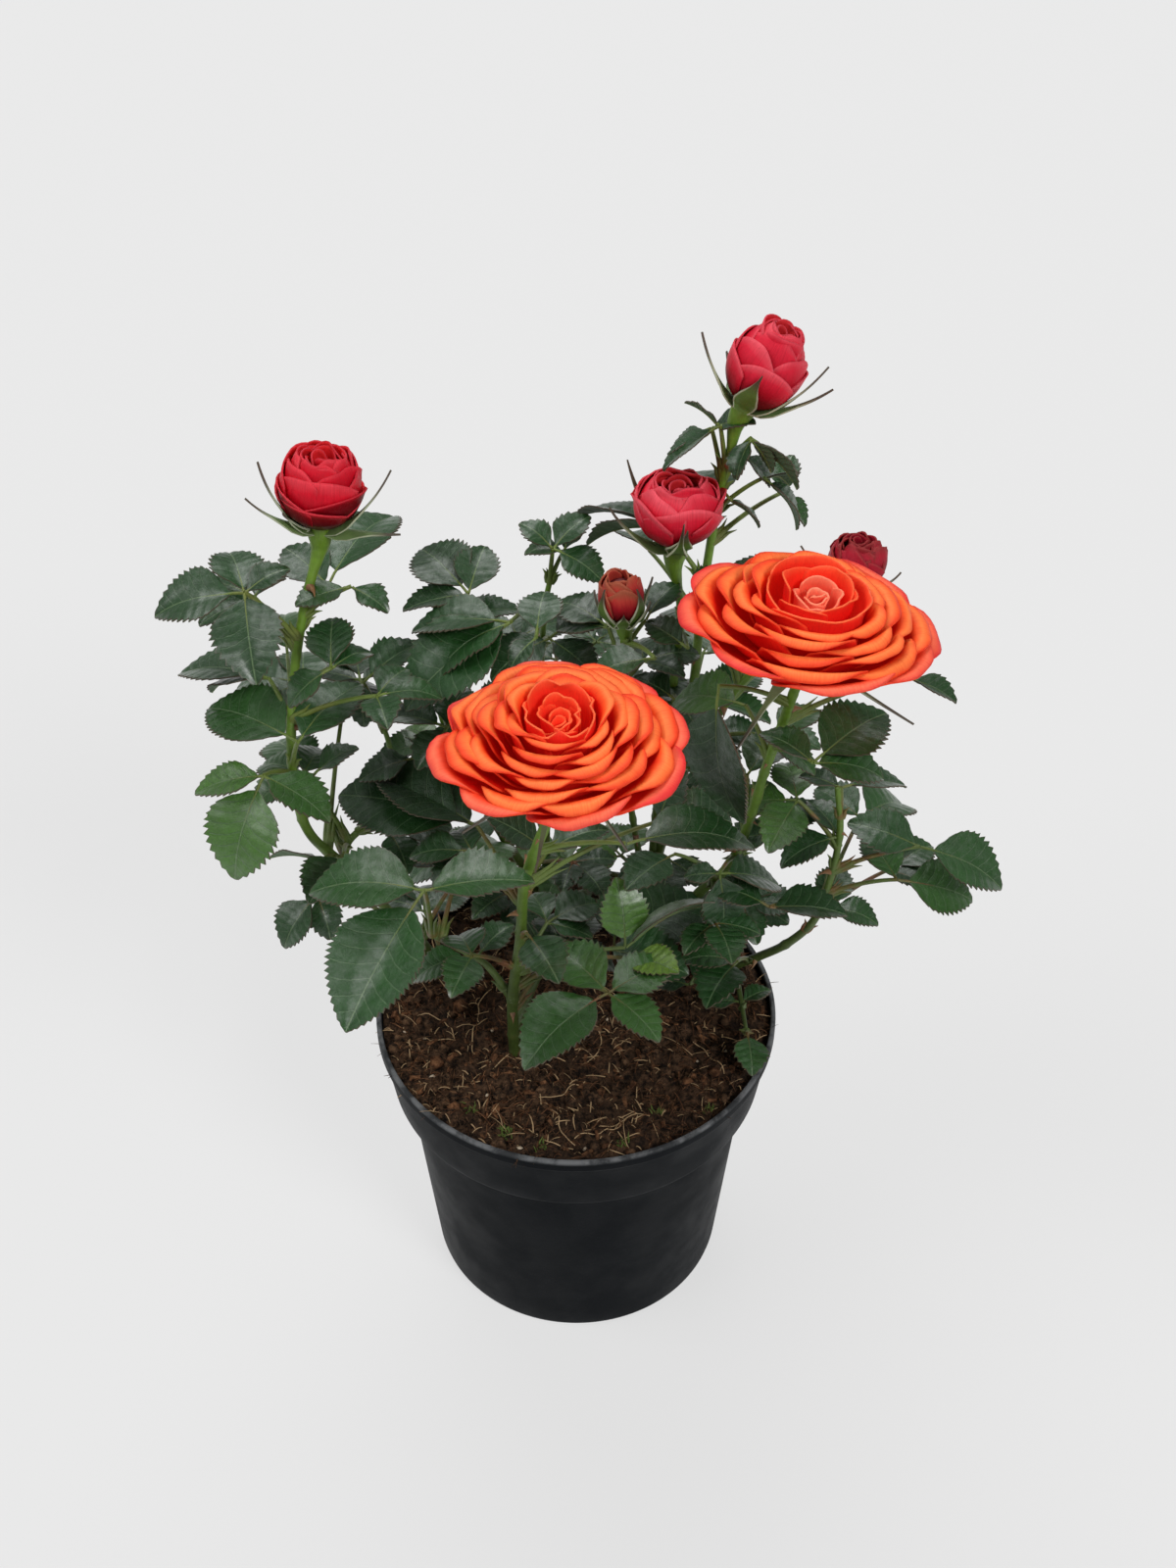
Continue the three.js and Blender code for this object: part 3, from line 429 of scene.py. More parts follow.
def mix(a, b, share):
    """A value between two others."""
    return a + (b - a) * share


def evenly(points, steps):
    """The same line, as points at even distances along it."""
    lengths = [0.0]
    for a, b in zip(points, points[1:]):
        lengths.append(lengths[-1] + (b - a).length)
    spots, at = [], 0
    for i in range(steps + 1):
        reach = lengths[-1] * i / steps
        while at < len(points) - 2 and lengths[at + 1] < reach:
            at += 1
        stretch = lengths[at + 1] - lengths[at] or 1.0
        spots.append(points[at].lerp(points[at + 1], min(1.0, (reach - lengths[at]) / stretch)))
    return spots


def smooth_line(points, steps):
    """Points at even distances on a smooth line through some points."""
    ends = [2 * points[0] - points[1], *points, 2 * points[-1] - points[-2]]
    line = []
    for a, b, c, d in zip(ends, ends[1:], ends[2:], ends[3:]):
        before, between, after = (max(1e-4, (q - p).length) ** 0.5 for p, q in ((a, b), (b, c), (c, d)))
        leave = (b - a) / before - (c - a) / (before + between) + (c - b) / between
        arrive = (c - b) / between - (d - b) / (between + after) + (d - c) / after
        leave, arrive = leave * between, arrive * between
        for i in range(12):
            t = i / 12
            line.append(
                (2 * t**3 - 3 * t**2 + 1) * b
                + (t**3 - 2 * t**2 + t) * leave
                + (3 * t**2 - 2 * t**3) * c
                + (t**3 - t**2) * arrive
            )
    line.append(points[-1])
    return evenly(line, steps)


def arc_line(start, bend, end, steps):
    """Points on a simple arc that leaves start towards bend and reaches end from there."""
    shares = [i / steps for i in range(steps + 1)]
    return [start * (1 - t) ** 2 + bend * 2 * t * (1 - t) + end * t * t for t in shares]


def table(values, place):
    """Reads a value between the rows of a short table of (place, value)."""
    for (a, low), (b, high) in zip(values, values[1:]):
        if place <= b:
            return mix(low, high, max(0.0, (place - a) / (b - a)))
    return values[-1][1]


def length_of(line):
    return sum((b - a).length for a, b in zip(line, line[1:]))


def flow_at(line, i):
    """The direction of a line at one of its points."""
    return (line[min(i + 1, len(line) - 1)] - line[max(i - 1, 0)]).normalized()


def by_length(sizes, length):
    """Reads a number from a row of (longer than, number)."""
    return next(number for over, number in sizes if length > over)


def in_scene(name, data):
    """Puts mesh, curve, light or camera data into the scene as a new object."""
    made = bpy.data.objects.new(name, data)
    bpy.context.scene.collection.objects.link(made)
    return made


def as_data(name, shape):
    """Turns a shape in the making into mesh data, and clears the shape away."""
    data = bpy.data.meshes.new(name)
    shape.to_mesh(data)
    shape.free()
    return data


def as_shown(made):
    """The mesh of an object as the scene shows it, with its bevels and cuts."""
    bpy.context.view_layer.update()
    return bpy.data.meshes.new_from_object(made.evaluated_get(bpy.context.evaluated_depsgraph_get()))


class Mesh:
    """A mesh in the making: thin sheets with their own places along and across, and loose extras."""

    def __init__(self):
        self.bm = bmesh.new()
        self.uv = self.bm.loops.layers.uv.new("sheet")
        self.values = {
            name: self.bm.verts.layers.float.new(name) for name in ("tone", "vein", "rib", "edge")
        }

    def sheet(self, surface, rows, columns, thickness, finish, tone, crisp=True):
        """A thin sheet. surface gives the spot, and what its material reads there, for each place
        along it from 0 to 1 and across it from -1 to 1; finish numbers its face, back and edge."""
        grid = bmesh.ops.create_grid(self.bm, x_segments=rows, y_segments=columns, size=1.0)
        corners = grid["verts"]
        faces = list({face for corner in corners for face in corner.link_faces})
        for face in faces:
            face.smooth = True
            face.material_index = finish[0]
            for loop in face.loops:
                loop[self.uv].uv = ((loop.vert.co.x + 1) / 2, (loop.vert.co.y + 1) / 2)
        for corner in corners:
            spot, readings = surface((corner.co.x + 1) / 2, corner.co.y)
            corner.co = spot
            corner[self.values["tone"]] = tone
            for name, value in readings.items():
                corner[self.values[name]] = value
        for face in faces:
            face.normal_update()
        rims = [edge for edge in {e for f in faces for e in f.edges} if edge.is_boundary]
        shell = bmesh.ops.solidify(self.bm, geom=faces, thickness=thickness)
        for face in (g for g in shell["geom"] if isinstance(g, bmesh.types.BMFace)):
            face.smooth = True
            face.material_index = finish[1]
        for edge in rims:
            for face in edge.link_faces:
                if face.material_index != finish[0] or face not in faces:
                    face.material_index = finish[2]
                    face.smooth = True
                    if crisp:
                        for side in face.edges:
                            side.smooth = False

    def tubes(self, strands, resolution):
        """Round tapering tubes with closed ends: each strand is its points, its radii and the number
        of its finish."""
        data = bpy.data.curves.new("strands", "CURVE")
        data.dimensions = "3D"
        data.bevel_depth = 1.0
        data.bevel_resolution = resolution
        data.use_fill_caps = True
        for _ in range(max(finish for _, _, finish in strands) + 1):
            data.materials.append(None)
        for points, radii, finish in strands:
            spline = data.splines.new("POLY")
            spline.points.add(len(points) - 1)
            spline.use_smooth = True
            spline.material_index = finish
            for knot, point, radius in zip(spline.points, points, radii):
                knot.co = (*point, 1.0)
                knot.radius = radius
        holder = in_scene("strands", data)
        self.take(as_shown(holder))
        bpy.data.objects.remove(holder)
        bpy.data.curves.remove(data)

    def take(self, mesh):
        """Adds a finished mesh, and clears it away."""
        self.bm.from_mesh(mesh)
        bpy.data.meshes.remove(mesh)

    def turned(self, profile, steps, finish=0):
        """A closed round body: its profile of (radius, height) starts and ends on the axis."""
        knots = [self.bm.verts.new((radius, 0, height)) for radius, height in profile]
        lines = [self.bm.edges.new(pair) for pair in zip(knots, knots[1:])]
        before = set(self.bm.faces)
        bmesh.ops.spin(
            self.bm, geom=[*knots, *lines], cent=(0, 0, 0), axis=(0, 0, 1), angle=2 * math.pi, steps=steps,
            use_merge=True,
        )
        faces = [face for face in self.bm.faces if face not in before]
        bmesh.ops.remove_doubles(self.bm, verts=list({v for f in faces for v in f.verts}), dist=1e-4)
        faces = [face for face in self.bm.faces if face not in before]
        bmesh.ops.recalc_face_normals(self.bm, faces=faces)
        for face in faces:
            face.smooth = True
            face.material_index = finish

    def core(self, profile, steps, finish, place):
        """Adds the small closed body in a flower that its petals grow from."""
        body = Mesh()
        body.turned(profile, steps, finish)
        for vert in body.bm.verts:
            vert.co = place(*vert.co)
        self.take(as_data("core", body.bm))

    def piece(self, name, finishes, slot, *nodes):
        """Finishes the mesh as a piece of the plant, in metres, that rides on its one body."""
        bmesh.ops.scale(self.bm, vec=(MM, MM, MM), verts=self.bm.verts)
        made = in_scene(name, as_data(name, self.bm))
        for finish in finishes:
            made.data.materials.append(finish)
        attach(made, "root")
        if nodes:
            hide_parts(*nodes)
        return made


# Finishes


def from_chart(red, green, blue):
    """A colour of a painter's chart, each part from 0 to 255, as the shaders take it."""
    shares = [c / 255 for c in (red, green, blue)]
    return (*(c / 12.92 if c < 0.0404 else ((c + 0.055) / 1.055) ** 2.4 for c in shares), 1.0)


def feed(tree, node, inputs):
    """Gives a node's inputs their values, or links them to other nodes' outputs."""
    for key, value in inputs.items():
        if isinstance(value, bpy.types.NodeSocket):
            tree.links.new(value, node.inputs[key])
        else:
            node.inputs[key].default_value = value


def add(tree, kind, inputs, **settings):
    """Adds a shader node, sets it up, feeds its inputs and gives back its outputs."""
    node = tree.nodes.new("ShaderNode" + kind)
    for key, value in settings.items():
        setattr(node, key, value)
    feed(tree, node, inputs)
    return node.outputs


def worked_out(tree, operation, a, b=0.0, c=0.0, clamp=False):
    return add(tree, "Math", {0: a, 1: b, 2: c}, operation=operation, use_clamp=clamp)[0]


def times(tree, a, b):
    return worked_out(tree, "MULTIPLY", a, b)


def times_plus(tree, a, b, c):
    return worked_out(tree, "MULTIPLY_ADD", a, b, c)


def ranged(tree, value, low, high, start=0.0, end=1.0):
    """Turns the stretch from low to high into start to end, smoothly, and holds the ends."""
    inputs = {"Value": value, "From Min": low, "From Max": high, "To Min": start, "To Max": end}
    return add(tree, "MapRange", inputs, interpolation_type="SMOOTHSTEP")[0]


def mixed(tree, share, a, b):
    """Mixes two colours."""
    return add(tree, "Mix", {0: share, 6: a, 7: b}, data_type="RGBA")[2]


def tinted(tree, colour, mask, strength, tint):
    """Brings a tint into a colour where its mask is, at a strength from 0 to 1."""
    return mixed(tree, times(tree, mask, strength), colour, (*tint, 1))


def ramp(tree, value, stops):
    """Reads a colour from a row of (place, colour)."""
    shade = add(tree, "ValToRGB", {"Fac": value})["Color"]
    marks = shade.node.color_ramp.elements
    while len(marks) < len(stops):
        marks.new(1.0)
    for mark, (place, colour) in zip(marks, stops):
        mark.position = place
        mark.color = colour
    return shade


def reading(tree, name):
    """A value that the mesh holds at each of its corners."""
    return add(tree, "Attribute", {}, attribute_name=name)["Fac"]


def place_on_object(tree):
    return add(tree, "TexCoord", {})["Object"]


def height_at(tree, spot):
    return add(tree, "SeparateXYZ", {0: spot})[2]


def drawn_out(tree, spot, share):
    """Draws a pattern out in height, to keep only a share of its changes there."""
    return add(tree, "Mapping", {"Vector": spot, "Scale": (1, 1, share)})[0]


def place_on_sheet(tree):
    """Where a spot lies along and across its petal, sepal or leaflet, each from 0 to 1."""
    spot = add(tree, "SeparateXYZ", {0: add(tree, "UVMap", {}, uv_map="sheet")[0]})
    return spot[0], spot[1]


def noise_at(tree, scale, detail=3.0, roughness=0.55, spot=None):
    spot = spot or place_on_object(tree)
    inputs = {"Vector": spot, "Scale": scale, "Detail": detail, "Roughness": roughness}
    return add(tree, "TexNoise", inputs)["Fac"]


def new_group(name, inputs, colours=(), values=()):
    """An effect that several finishes share: its inputs, and the colours and values that it gives."""
    tree = bpy.data.node_groups.new(name, "ShaderNodeTree")
    for label, value in inputs.items():
        kind = "NodeSocketFloat" if isinstance(value, float) else "NodeSocketColor"
        tree.interface.new_socket(label, in_out="INPUT", socket_type=kind).default_value = value
    for kind, labels in (("NodeSocketColor", colours), ("NodeSocketFloat", values)):
        for label in labels:
            tree.interface.new_socket(label, in_out="OUTPUT", socket_type=kind)
    return tree, tree.nodes.new("NodeGroupInput").outputs, tree.nodes.new("NodeGroupOutput")


def mottling():
    """Uneven colour: patches that are lighter and darker than the rest."""
    group, enter, leave = new_group(
        "mottling", {"Colour": (1, 1, 1, 1), "Scale": 100.0, "Amount": 0.3}, colours=["Colour"]
    )
    patches = noise_at(group, enter["Scale"], 4.0)
    swing = times(group, worked_out(group, "SUBTRACT", patches, 0.5), enter["Amount"])
    bright = times_plus(group, swing, 2.0, 1.0)
    toned = add(group, "HueSaturation", {"Value": bright, "Color": enter["Colour"]})
    feed(group, leave, {"Colour": toned[0]})
    return group


def dusting():
    """Pale specks and smears of dust."""
    group, enter, leave = new_group(
        "dusting",
        {"Colour": (1, 1, 1, 1), "Dust": (0.4, 0.36, 0.3, 1), "Scale": 900.0, "Amount": 0.3},
        colours=["Colour"],
    )
    specks = noise_at(group, enter["Scale"], 2.0, 0.7)
    drifts = noise_at(group, times(group, enter["Scale"], 0.08), 2.0)
    both = times(group, ranged(group, specks, 0.6, 0.74), ranged(group, drifts, 0.35, 0.7))
    mask = worked_out(group, "MULTIPLY", both, enter["Amount"], clamp=True)
    feed(group, leave, {"Colour": mixed(group, mask, enter["Colour"], enter["Dust"])})
    return group


def leaf_veins():
    """A leaflet's midrib, side veins and fine net, as masks and as a height."""
    group, _, leave = new_group("leaf veins", {}, values=["Midrib", "Veins", "Net", "Height"])
    turn = worked_out(group, "FRACT", reading(group, "vein"))
    gap = worked_out(group, "ABSOLUTE", worked_out(group, "SUBTRACT", turn, 0.5))
    midrib = ranged(group, reading(group, "rib"), 0.1, 0.34, 1.0, 0.0)
    fading = ranged(group, reading(group, "edge"), 0.2, 1.6)
    veins = times(group, ranged(group, gap, 0.43, 0.49), fading)
    cells = add(
        group, "TexVoronoi", {"Vector": place_on_object(group), "Scale": NET_SCALE}, feature="DISTANCE_TO_EDGE"
    )
    net = ranged(group, cells["Distance"], 0.02, 0.14, 1.0, 0.0)
    pillow = worked_out(group, "COSINE", times(group, turn, 2 * math.pi))
    height = times(group, pillow, -0.13)
    for sunken, depth in ((midrib, 0.5), (veins, 0.34), (net, 0.1)):
        height = times_plus(group, sunken, -depth, height)
    feed(group, leave, {"Midrib": midrib, "Veins": veins, "Net": net, "Height": height})
    return group


def petal_streaks():
    """The fine lines that fan out along a petal, as a mask and as a height."""
    group, enter, leave = new_group("petal streaks", {"Fineness": 38.0}, values=["Streaks", "Height"])
    along, across = place_on_sheet(group)
    wide = times(group, across, enter["Fineness"])
    spot = add(group, "CombineXYZ", {0: times(group, along, 2.2), 1: wide})[0]
    lines = noise_at(group, 1.0, 3.0, 0.6, spot)
    feed(group, leave, {"Streaks": ranged(group, lines, 0.35, 0.7), "Height": lines})
    return group


MOTTLING = mottling()
DUSTING = dusting()
LEAF_VEINS = leaf_veins()
PETAL_STREAKS = petal_streaks()


def mottled(tree, colour, scale, amount):
    inputs = {"Colour": colour, "Scale": scale, "Amount": amount}
    return add(tree, "Group", inputs, node_tree=MOTTLING)["Colour"]


def dusted(tree, colour, dust, scale, amount):
    inputs = {"Colour": colour, "Dust": (*dust, 1), "Scale": scale, "Amount": amount}
    return add(tree, "Group", inputs, node_tree=DUSTING)["Colour"]


def new_finish(name, roughness, **sockets):
    """A material with its shader, and the values that are the same all over it."""
    material = bpy.data.materials.new(name)
    material.use_nodes = True
    tree = material.node_tree
    shader = tree.nodes["Principled BSDF"]
    feed(tree, shader, {"Roughness": roughness})
    feed(tree, shader, {label.replace("_", " "): value for label, value in sockets.items()})
    return material, tree, shader


def bumped(tree, shader, height, depth, strength=1.0):
    """Raises and sinks a surface's shading by a height, which counts for a depth in metres."""
    bump = add(tree, "Bump", {"Height": height, "Distance": depth, "Strength": strength})
    feed(tree, shader, {"Normal": bump[0]})


def leaf_colour(tree):
    """From old blue-green leaves to fresh and yellowing ones."""
    greens = [
        (0.0, (0.006, 0.030, 0.005, 1)),
        (0.35, (0.014, 0.066, 0.012, 1)),
        (0.65, (0.040, 0.120, 0.018, 1)),
        (0.85, (0.100, 0.220, 0.024, 1)),
        (1.0, (0.420, 0.430, 0.060, 1)),
    ]
    return mottled(tree, ramp(tree, reading(tree, "tone"), greens), 160.0, 0.35)


def leaf_face_finish():
    material, tree, shader = new_finish(
        "leaf face", 0.4, Coat_Roughness=0.32, Coat_IOR=1.65, Specular_IOR_Level=0.25
    )
    veins = add(tree, "Group", {}, node_tree=LEAF_VEINS)
    colour = tinted(tree, leaf_colour(tree), veins["Net"], 0.2, (0.02, 0.05, 0.02))
    colour = tinted(tree, colour, veins["Veins"], 0.5, (0.12, 0.21, 0.10))
    colour = tinted(tree, colour, veins["Midrib"], 0.65, (0.15, 0.24, 0.11))
    rim = ranged(tree, reading(tree, "edge"), 0.05, 0.4, 0.6, 0.0)
    colour = mixed(tree, rim, colour, (0.07, 0.05, 0.03, 1))
    rough = ranged(tree, noise_at(tree, 220.0), 0.3, 0.7, 0.32, 0.5)
    wax = ranged(tree, noise_at(tree, 420.0, 5.0, 0.75), 0.36, 0.64, 0.35, 0.8)
    dusty = dusted(tree, colour, (0.35, 0.42, 0.35), 1500.0, 0.12)
    feed(tree, shader, {"Base Color": dusty, "Roughness": rough, "Coat Weight": wax})
    blisters = times(tree, noise_at(tree, 420.0, 3.0, 0.6), 1.6)
    bumped(tree, shader, worked_out(tree, "ADD", veins["Height"], blisters), 0.0006)
    return material


def leaf_back_finish():
    material, tree, shader = new_finish("leaf back", 0.62)
    veins = add(tree, "Group", {}, node_tree=LEAF_VEINS)
    colour = mixed(tree, 0.55, leaf_colour(tree), (0.13, 0.2, 0.11, 1))
    colour = tinted(tree, colour, veins["Net"], 0.3, (0.06, 0.11, 0.05))
    colour = tinted(tree, colour, veins["Veins"], 0.5, (0.22, 0.3, 0.16))
    colour = mixed(tree, veins["Midrib"], colour, (0.26, 0.33, 0.14, 1))
    feed(tree, shader, {"Base Color": colour})
    bumped(tree, shader, times(tree, veins["Height"], -1.0), 0.0004)
    return material


def leaf_edge_finish():
    material, tree, shader = new_finish("leaf edge", 0.55)
    feed(tree, shader, {"Base Color": mottled(tree, (0.07, 0.055, 0.03, 1), 700.0, 0.6)})
    return material


def stem_finish(name, low, high, blush, blush_share):
    """A green stem: its colour low and high on the plant, and a reddish blush in patches."""
    material, tree, shader = new_finish(name, 0.5)
    spot = place_on_object(tree)
    height = height_at(tree, spot)
    colour = mixed(tree, ranged(tree, height, 0.1, 0.24), from_chart(*low), from_chart(*high))
    patches = ranged(tree, noise_at(tree, 90.0), 1 - blush_share - 0.12, 1 - blush_share + 0.12)
    low_down = ranged(tree, height, 0.15, 0.21, 0.75, 0.15)
    colour = mixed(tree, times(tree, patches, low_down), colour, from_chart(*blush))
    colour = dusted(tree, mottled(tree, colour, 500.0, 0.4), (0.35, 0.33, 0.22), 1800.0, 0.6)
    feed(tree, shader, {"Base Color": colour})
    bumped(tree, shader, noise_at(tree, 1600.0, 3.0, 0.6, drawn_out(tree, spot, 0.12)), 0.0003, 0.6)
    return material


def sepal_finish(name, green, pale_margins):
    """Green with a reddish tip, and with or without pale margins."""
    material, tree, shader = new_finish(name, 0.5)
    along, across = place_on_sheet(tree)
    colour = mottled(tree, from_chart(*green), 420.0, 0.4)
    if pale_margins:
        side = worked_out(tree, "ABSOLUTE", times_plus(tree, across, 2.0, -1.0))
        colour = tinted(tree, colour, ranged(tree, side, 0.78, 0.92), 0.85, (0.50, 0.54, 0.38))
    colour = tinted(tree, colour, ranged(tree, along, 0.55, 0.85), 0.85, (0.045, 0.014, 0.012))
    feed(tree, shader, {"Base Color": colour})
    streaks = add(tree, "Group", {"Fineness": 20.0}, node_tree=PETAL_STREAKS)
    bumped(tree, shader, streaks["Height"], 0.0003, 0.5)
    return material


def petal_finish(name, stops, flush, roughness=0.5, glow=0.0):
    """A petal, coloured from its base to its edge, with a flush of another colour in its streaks. Its
    glow stands for the light that comes through the thin petals between their folds."""
    material, tree, shader = new_finish(name, roughness, Specular_IOR_Level=0.12)
    flush = from_chart(*flush)
    along, _ = place_on_sheet(tree)
    uneven = times_plus(tree, noise_at(tree, 220.0, 2.0), 0.12, -0.06)
    shift = times_plus(tree, reading(tree, "tone"), 0.16, -0.08)
    place = worked_out(tree, "ADD", worked_out(tree, "ADD", along, uneven), shift)
    colour = ramp(tree, place, [(at, from_chart(*tone)) for at, *tone in stops])
    streaks = add(tree, "Group", {"Fineness": 46.0}, node_tree=PETAL_STREAKS)
    colour = mixed(tree, times(tree, streaks["Streaks"], 0.22), colour, flush)
    colour = mottled(tree, colour, 260.0, 0.14)
    feed(tree, shader, {"Base Color": colour})
    if glow:
        feed(tree, shader, {"Emission Color": mixed(tree, 0.6, colour, flush), "Emission Strength": glow})
    bumped(tree, shader, streaks["Height"], 0.0003, 0.5)
    return material


def pot_finish():
    """Near-black thin plastic, dusty and scuffed pale at its rim."""
    material, tree, shader = new_finish("pot plastic", 0.5, Specular_IOR_Level=0.05)
    spot = place_on_object(tree)
    colour = mottled(tree, (0.0024, 0.0036, 0.0050, 1), 26.0, 0.3)
    colour = dusted(tree, colour, (0.05, 0.048, 0.045), 1300.0, 0.16)
    lip = ranged(tree, height_at(tree, spot), 0.0978, 0.0994)
    worn = ranged(tree, noise_at(tree, 110.0, 4.0, 0.7), 0.38, 0.62)
    scuff = times(tree, lip, times_plus(tree, worn, 0.7, 0.22))
    colour = mixed(tree, scuff, colour, (0.16, 0.165, 0.17, 1))
    rough = ranged(tree, noise_at(tree, 60.0, 4.0), 0.3, 0.7, 0.42, 0.58)
    feed(tree, shader, {"Base Color": colour, "Roughness": rough})
    grain = noise_at(tree, 2600.0, 2.0, 0.6)
    ripple = noise_at(tree, 40.0, 2.0, 0.5, drawn_out(tree, spot, 0.3))
    bumped(tree, shader, times_plus(tree, ripple, 3.0, grain), 0.00012, 0.5)
    return material


def peat_finish(name, dark, light):
    """Peat: dark with browner crumbs."""
    material, tree, shader = new_finish(name, 0.95, Specular_IOR_Level=0.15)
    crumbs = ranged(tree, noise_at(tree, PEAT_SCALE, 6.0, 0.7), 0.35, 0.68)
    colour = mixed(tree, crumbs, from_chart(*dark), from_chart(*light))
    damp = ranged(tree, noise_at(tree, 45.0, 3.0), 0.35, 0.65)
    feed(tree, shader, {"Base Color": tinted(tree, colour, damp, 0.45, (0.012, 0.008, 0.006))})
    bumped(tree, shader, noise_at(tree, PEAT_SCALE * 1.6, 5.0, 0.7), 0.0012)
    return material


def plain_finish(name, tone, roughness, scale, amount):
    """One mottled colour with a fine grain."""
    material, tree, shader = new_finish(name, roughness)
    feed(tree, shader, {"Base Color": mottled(tree, from_chart(*tone), scale, amount)})
    bumped(tree, shader, noise_at(tree, scale * 3), 0.0002, 0.5)
    return material


# Stems, thorns and leaves


def flower_on(cane):
    """The flower that a cane carries, if it carries one."""
    return next((flower for flower in {**BLOOMS, **BUDS}.values() if flower["cane"] == cane), None)


def hip_and_way(flower):
    """Where a flower's hip ends, and the way the flower faces."""
    return Vector(flower["hip"]), Vector(flower["facing"]).normalized()


def cane_line(name):
    """Points down the middle of a cane, from its foot in the soil to its end or its flower's hip."""
    *_, route = CANES[name]
    points = [Vector(p) for p in route]
    if points[0].z < SOIL_LEVEL:
        points.insert(0, points[0] - Vector((0, 0, FOOT_DEPTH)))
    flower = flower_on(name)
    if flower:
        top, up = hip_and_way(flower)
        points += [top - up * HIP_LENGTH, top - up * 0.6 * HIP_LENGTH]
    return smooth_line(points, CANE_STEPS)


def cane_strand(name, line):
    """A cane with its swollen nodes, and its hip where it carries a flower."""
    _, foot, end, _ = CANES[name]
    flower = flower_on(name)
    points = list(line)
    if flower:
        top, up = hip_and_way(flower)
        points += [top - up * drop for drop in (3.0, 1.6, 0.3)]
        small = flower.get("radius", 10) < 8
        hip = [*(SMALL_HIP if small else WIDE_HIP), (SMALL_HIP_LENGTH if small else WIDE_HIP_LENGTH, end)]
    draw = draws(311 + 7 * len(name) + len(line))
    nodes = []
    at = 8 + 8 * draw()
    while at < length_of(line) - 12:
        nodes.append(at)
        at += 13 + 12 * draw()
    radii, gone = [], 0.0
    whole = length_of(points)
    for i, point in enumerate(points):
        if i:
            gone += (point - points[i - 1]).length
        radius = 0.86 * mix(foot, end, gone / whole)
        radius *= 1 + 0.2 * sum(math.exp(-(((gone - node) / 1.1) ** 2)) for node in nodes)
        if flower:
            radius = max(radius, table(hip, whole - gone))
        radii.append(radius)
    return points, radii, CANE


def thorn_strands(line, radius):
    """Hooked thorns down a cane, in turn about it."""
    count = int(length_of(line) / THORN_SPACING)
    strands = []
    for i in range(1, count):
        at = int((i + 0.35 * math.sin(5.1 * i)) / count * (len(line) - 1))
        at = min(max(at, 4), len(line) - 8)
        if line[at].z < SOIL_LEVEL + 6:
            continue
        flow = flow_at(line, at)
        out = Vector((math.cos(2.4 * i), math.sin(2.4 * i), 0))
        out = (out - flow * out.dot(flow)).normalized()
        root = line[at] + out * radius * 0.55
        size = 0.8 + 0.3 * math.sin(3.3 * i)
        points = [root + out * reach * size - flow * drop * size for reach, drop, _ in THORN_HOOK]
        strands.append((points, [r * size for _, _, r in THORN_HOOK], THORN))
    return strands


def leaflet_bulge(along):
    """The share of its half width that a leaflet has at a place along it."""
    return math.sin(math.pi * along**0.82) ** 0.8


def leaflet(leaves, strands, base, tip, stalk, turn, draw, look):
    """One toothed leaflet with sunken veins, and its stalk and rib underneath."""
    length = (tip - base).length
    width = min(WIDEST_LEAFLET, length * WIDTH_TO_LENGTH)
    axis = (tip - base).normalized()
    sky = Vector((0, 0, 1))
    sky = (sky - axis * sky.dot(axis)).normalized()
    sky.rotate(Quaternion(axis, math.radians(turn + 24 * (draw() - 0.5))))
    across = sky.cross(axis)
    arch = length * (0.05 + 0.06 * draw())
    fold = 0.1 + 0.2 * draw()
    tone, curl, wave, phase = look
    teeth, pairs = by_length(LEAFLET_TEETH, length), by_length(VEIN_PAIRS, length)

    def spot(along, side, reach):
        """A spot of the blade: side is the way out to the margin, reach that way in mm."""
        rise = arch * 4 * along * (1 - along) + fold * reach
        rise -= curl * length * max(0.0, along - 0.45) ** 2 + curl * 0.02 * reach**2
        rise += wave * math.sin(9 * along + phase + (1.6 if side > 0 else 0)) * (reach / width) ** 2 * 4
        return base + axis * along * length + across * math.copysign(reach, side) + sky * rise

    def surface(share, side):
        way = abs(side) ** 0.8
        tooth = (share * teeth) % 1.0 if 0.04 < share < 0.985 else 0.0
        point_out = way**5 * (0.0 if tooth < 0.2 else 0.5 if tooth < 0.55 else 1.0)
        along = stalk + (1 - stalk) * (share + 0.45 * point_out / teeth * (1 - share) ** 0.3)
        half = max(0.12 if share > 0.5 else 0.5, leaflet_bulge(share) * width / 2)
        reach = way * half * (0.93 + (0.11 if length > 30 else 0.16) * point_out)
        vein = pairs * (share - 0.9 * reach / length + 1.6 * (reach / length) ** 2) + 0.35
        edge = min(half * (1 - way), (1 - share) * length * 0.8 + 0.1)
        quilt = 0.06 * math.cos(2 * math.pi * vein) * min(1.0, reach / 2) * min(1.0, edge / 1.5)
        groove = 0.3 * max(0.0, 1 - reach / 0.9)
        place = spot(along, side, reach) - sky * (quilt + groove)
        return place, {"vein": vein, "rib": reach, "edge": edge}

    leaves.sheet(surface, 3 * teeth + 1, 6, LEAF_THICKNESS, (LEAF_FACE, LEAF_BACK, LEAF_EDGE), tone)
    steps = [i / 9 for i in range(10)]
    under = [spot(0.97 * along, 1, 0) - sky * (0.55 if along > stalk else 0.1) for along in steps]
    strands.append((under, [mix(0.42, 0.12, along) for along in steps], STALK))


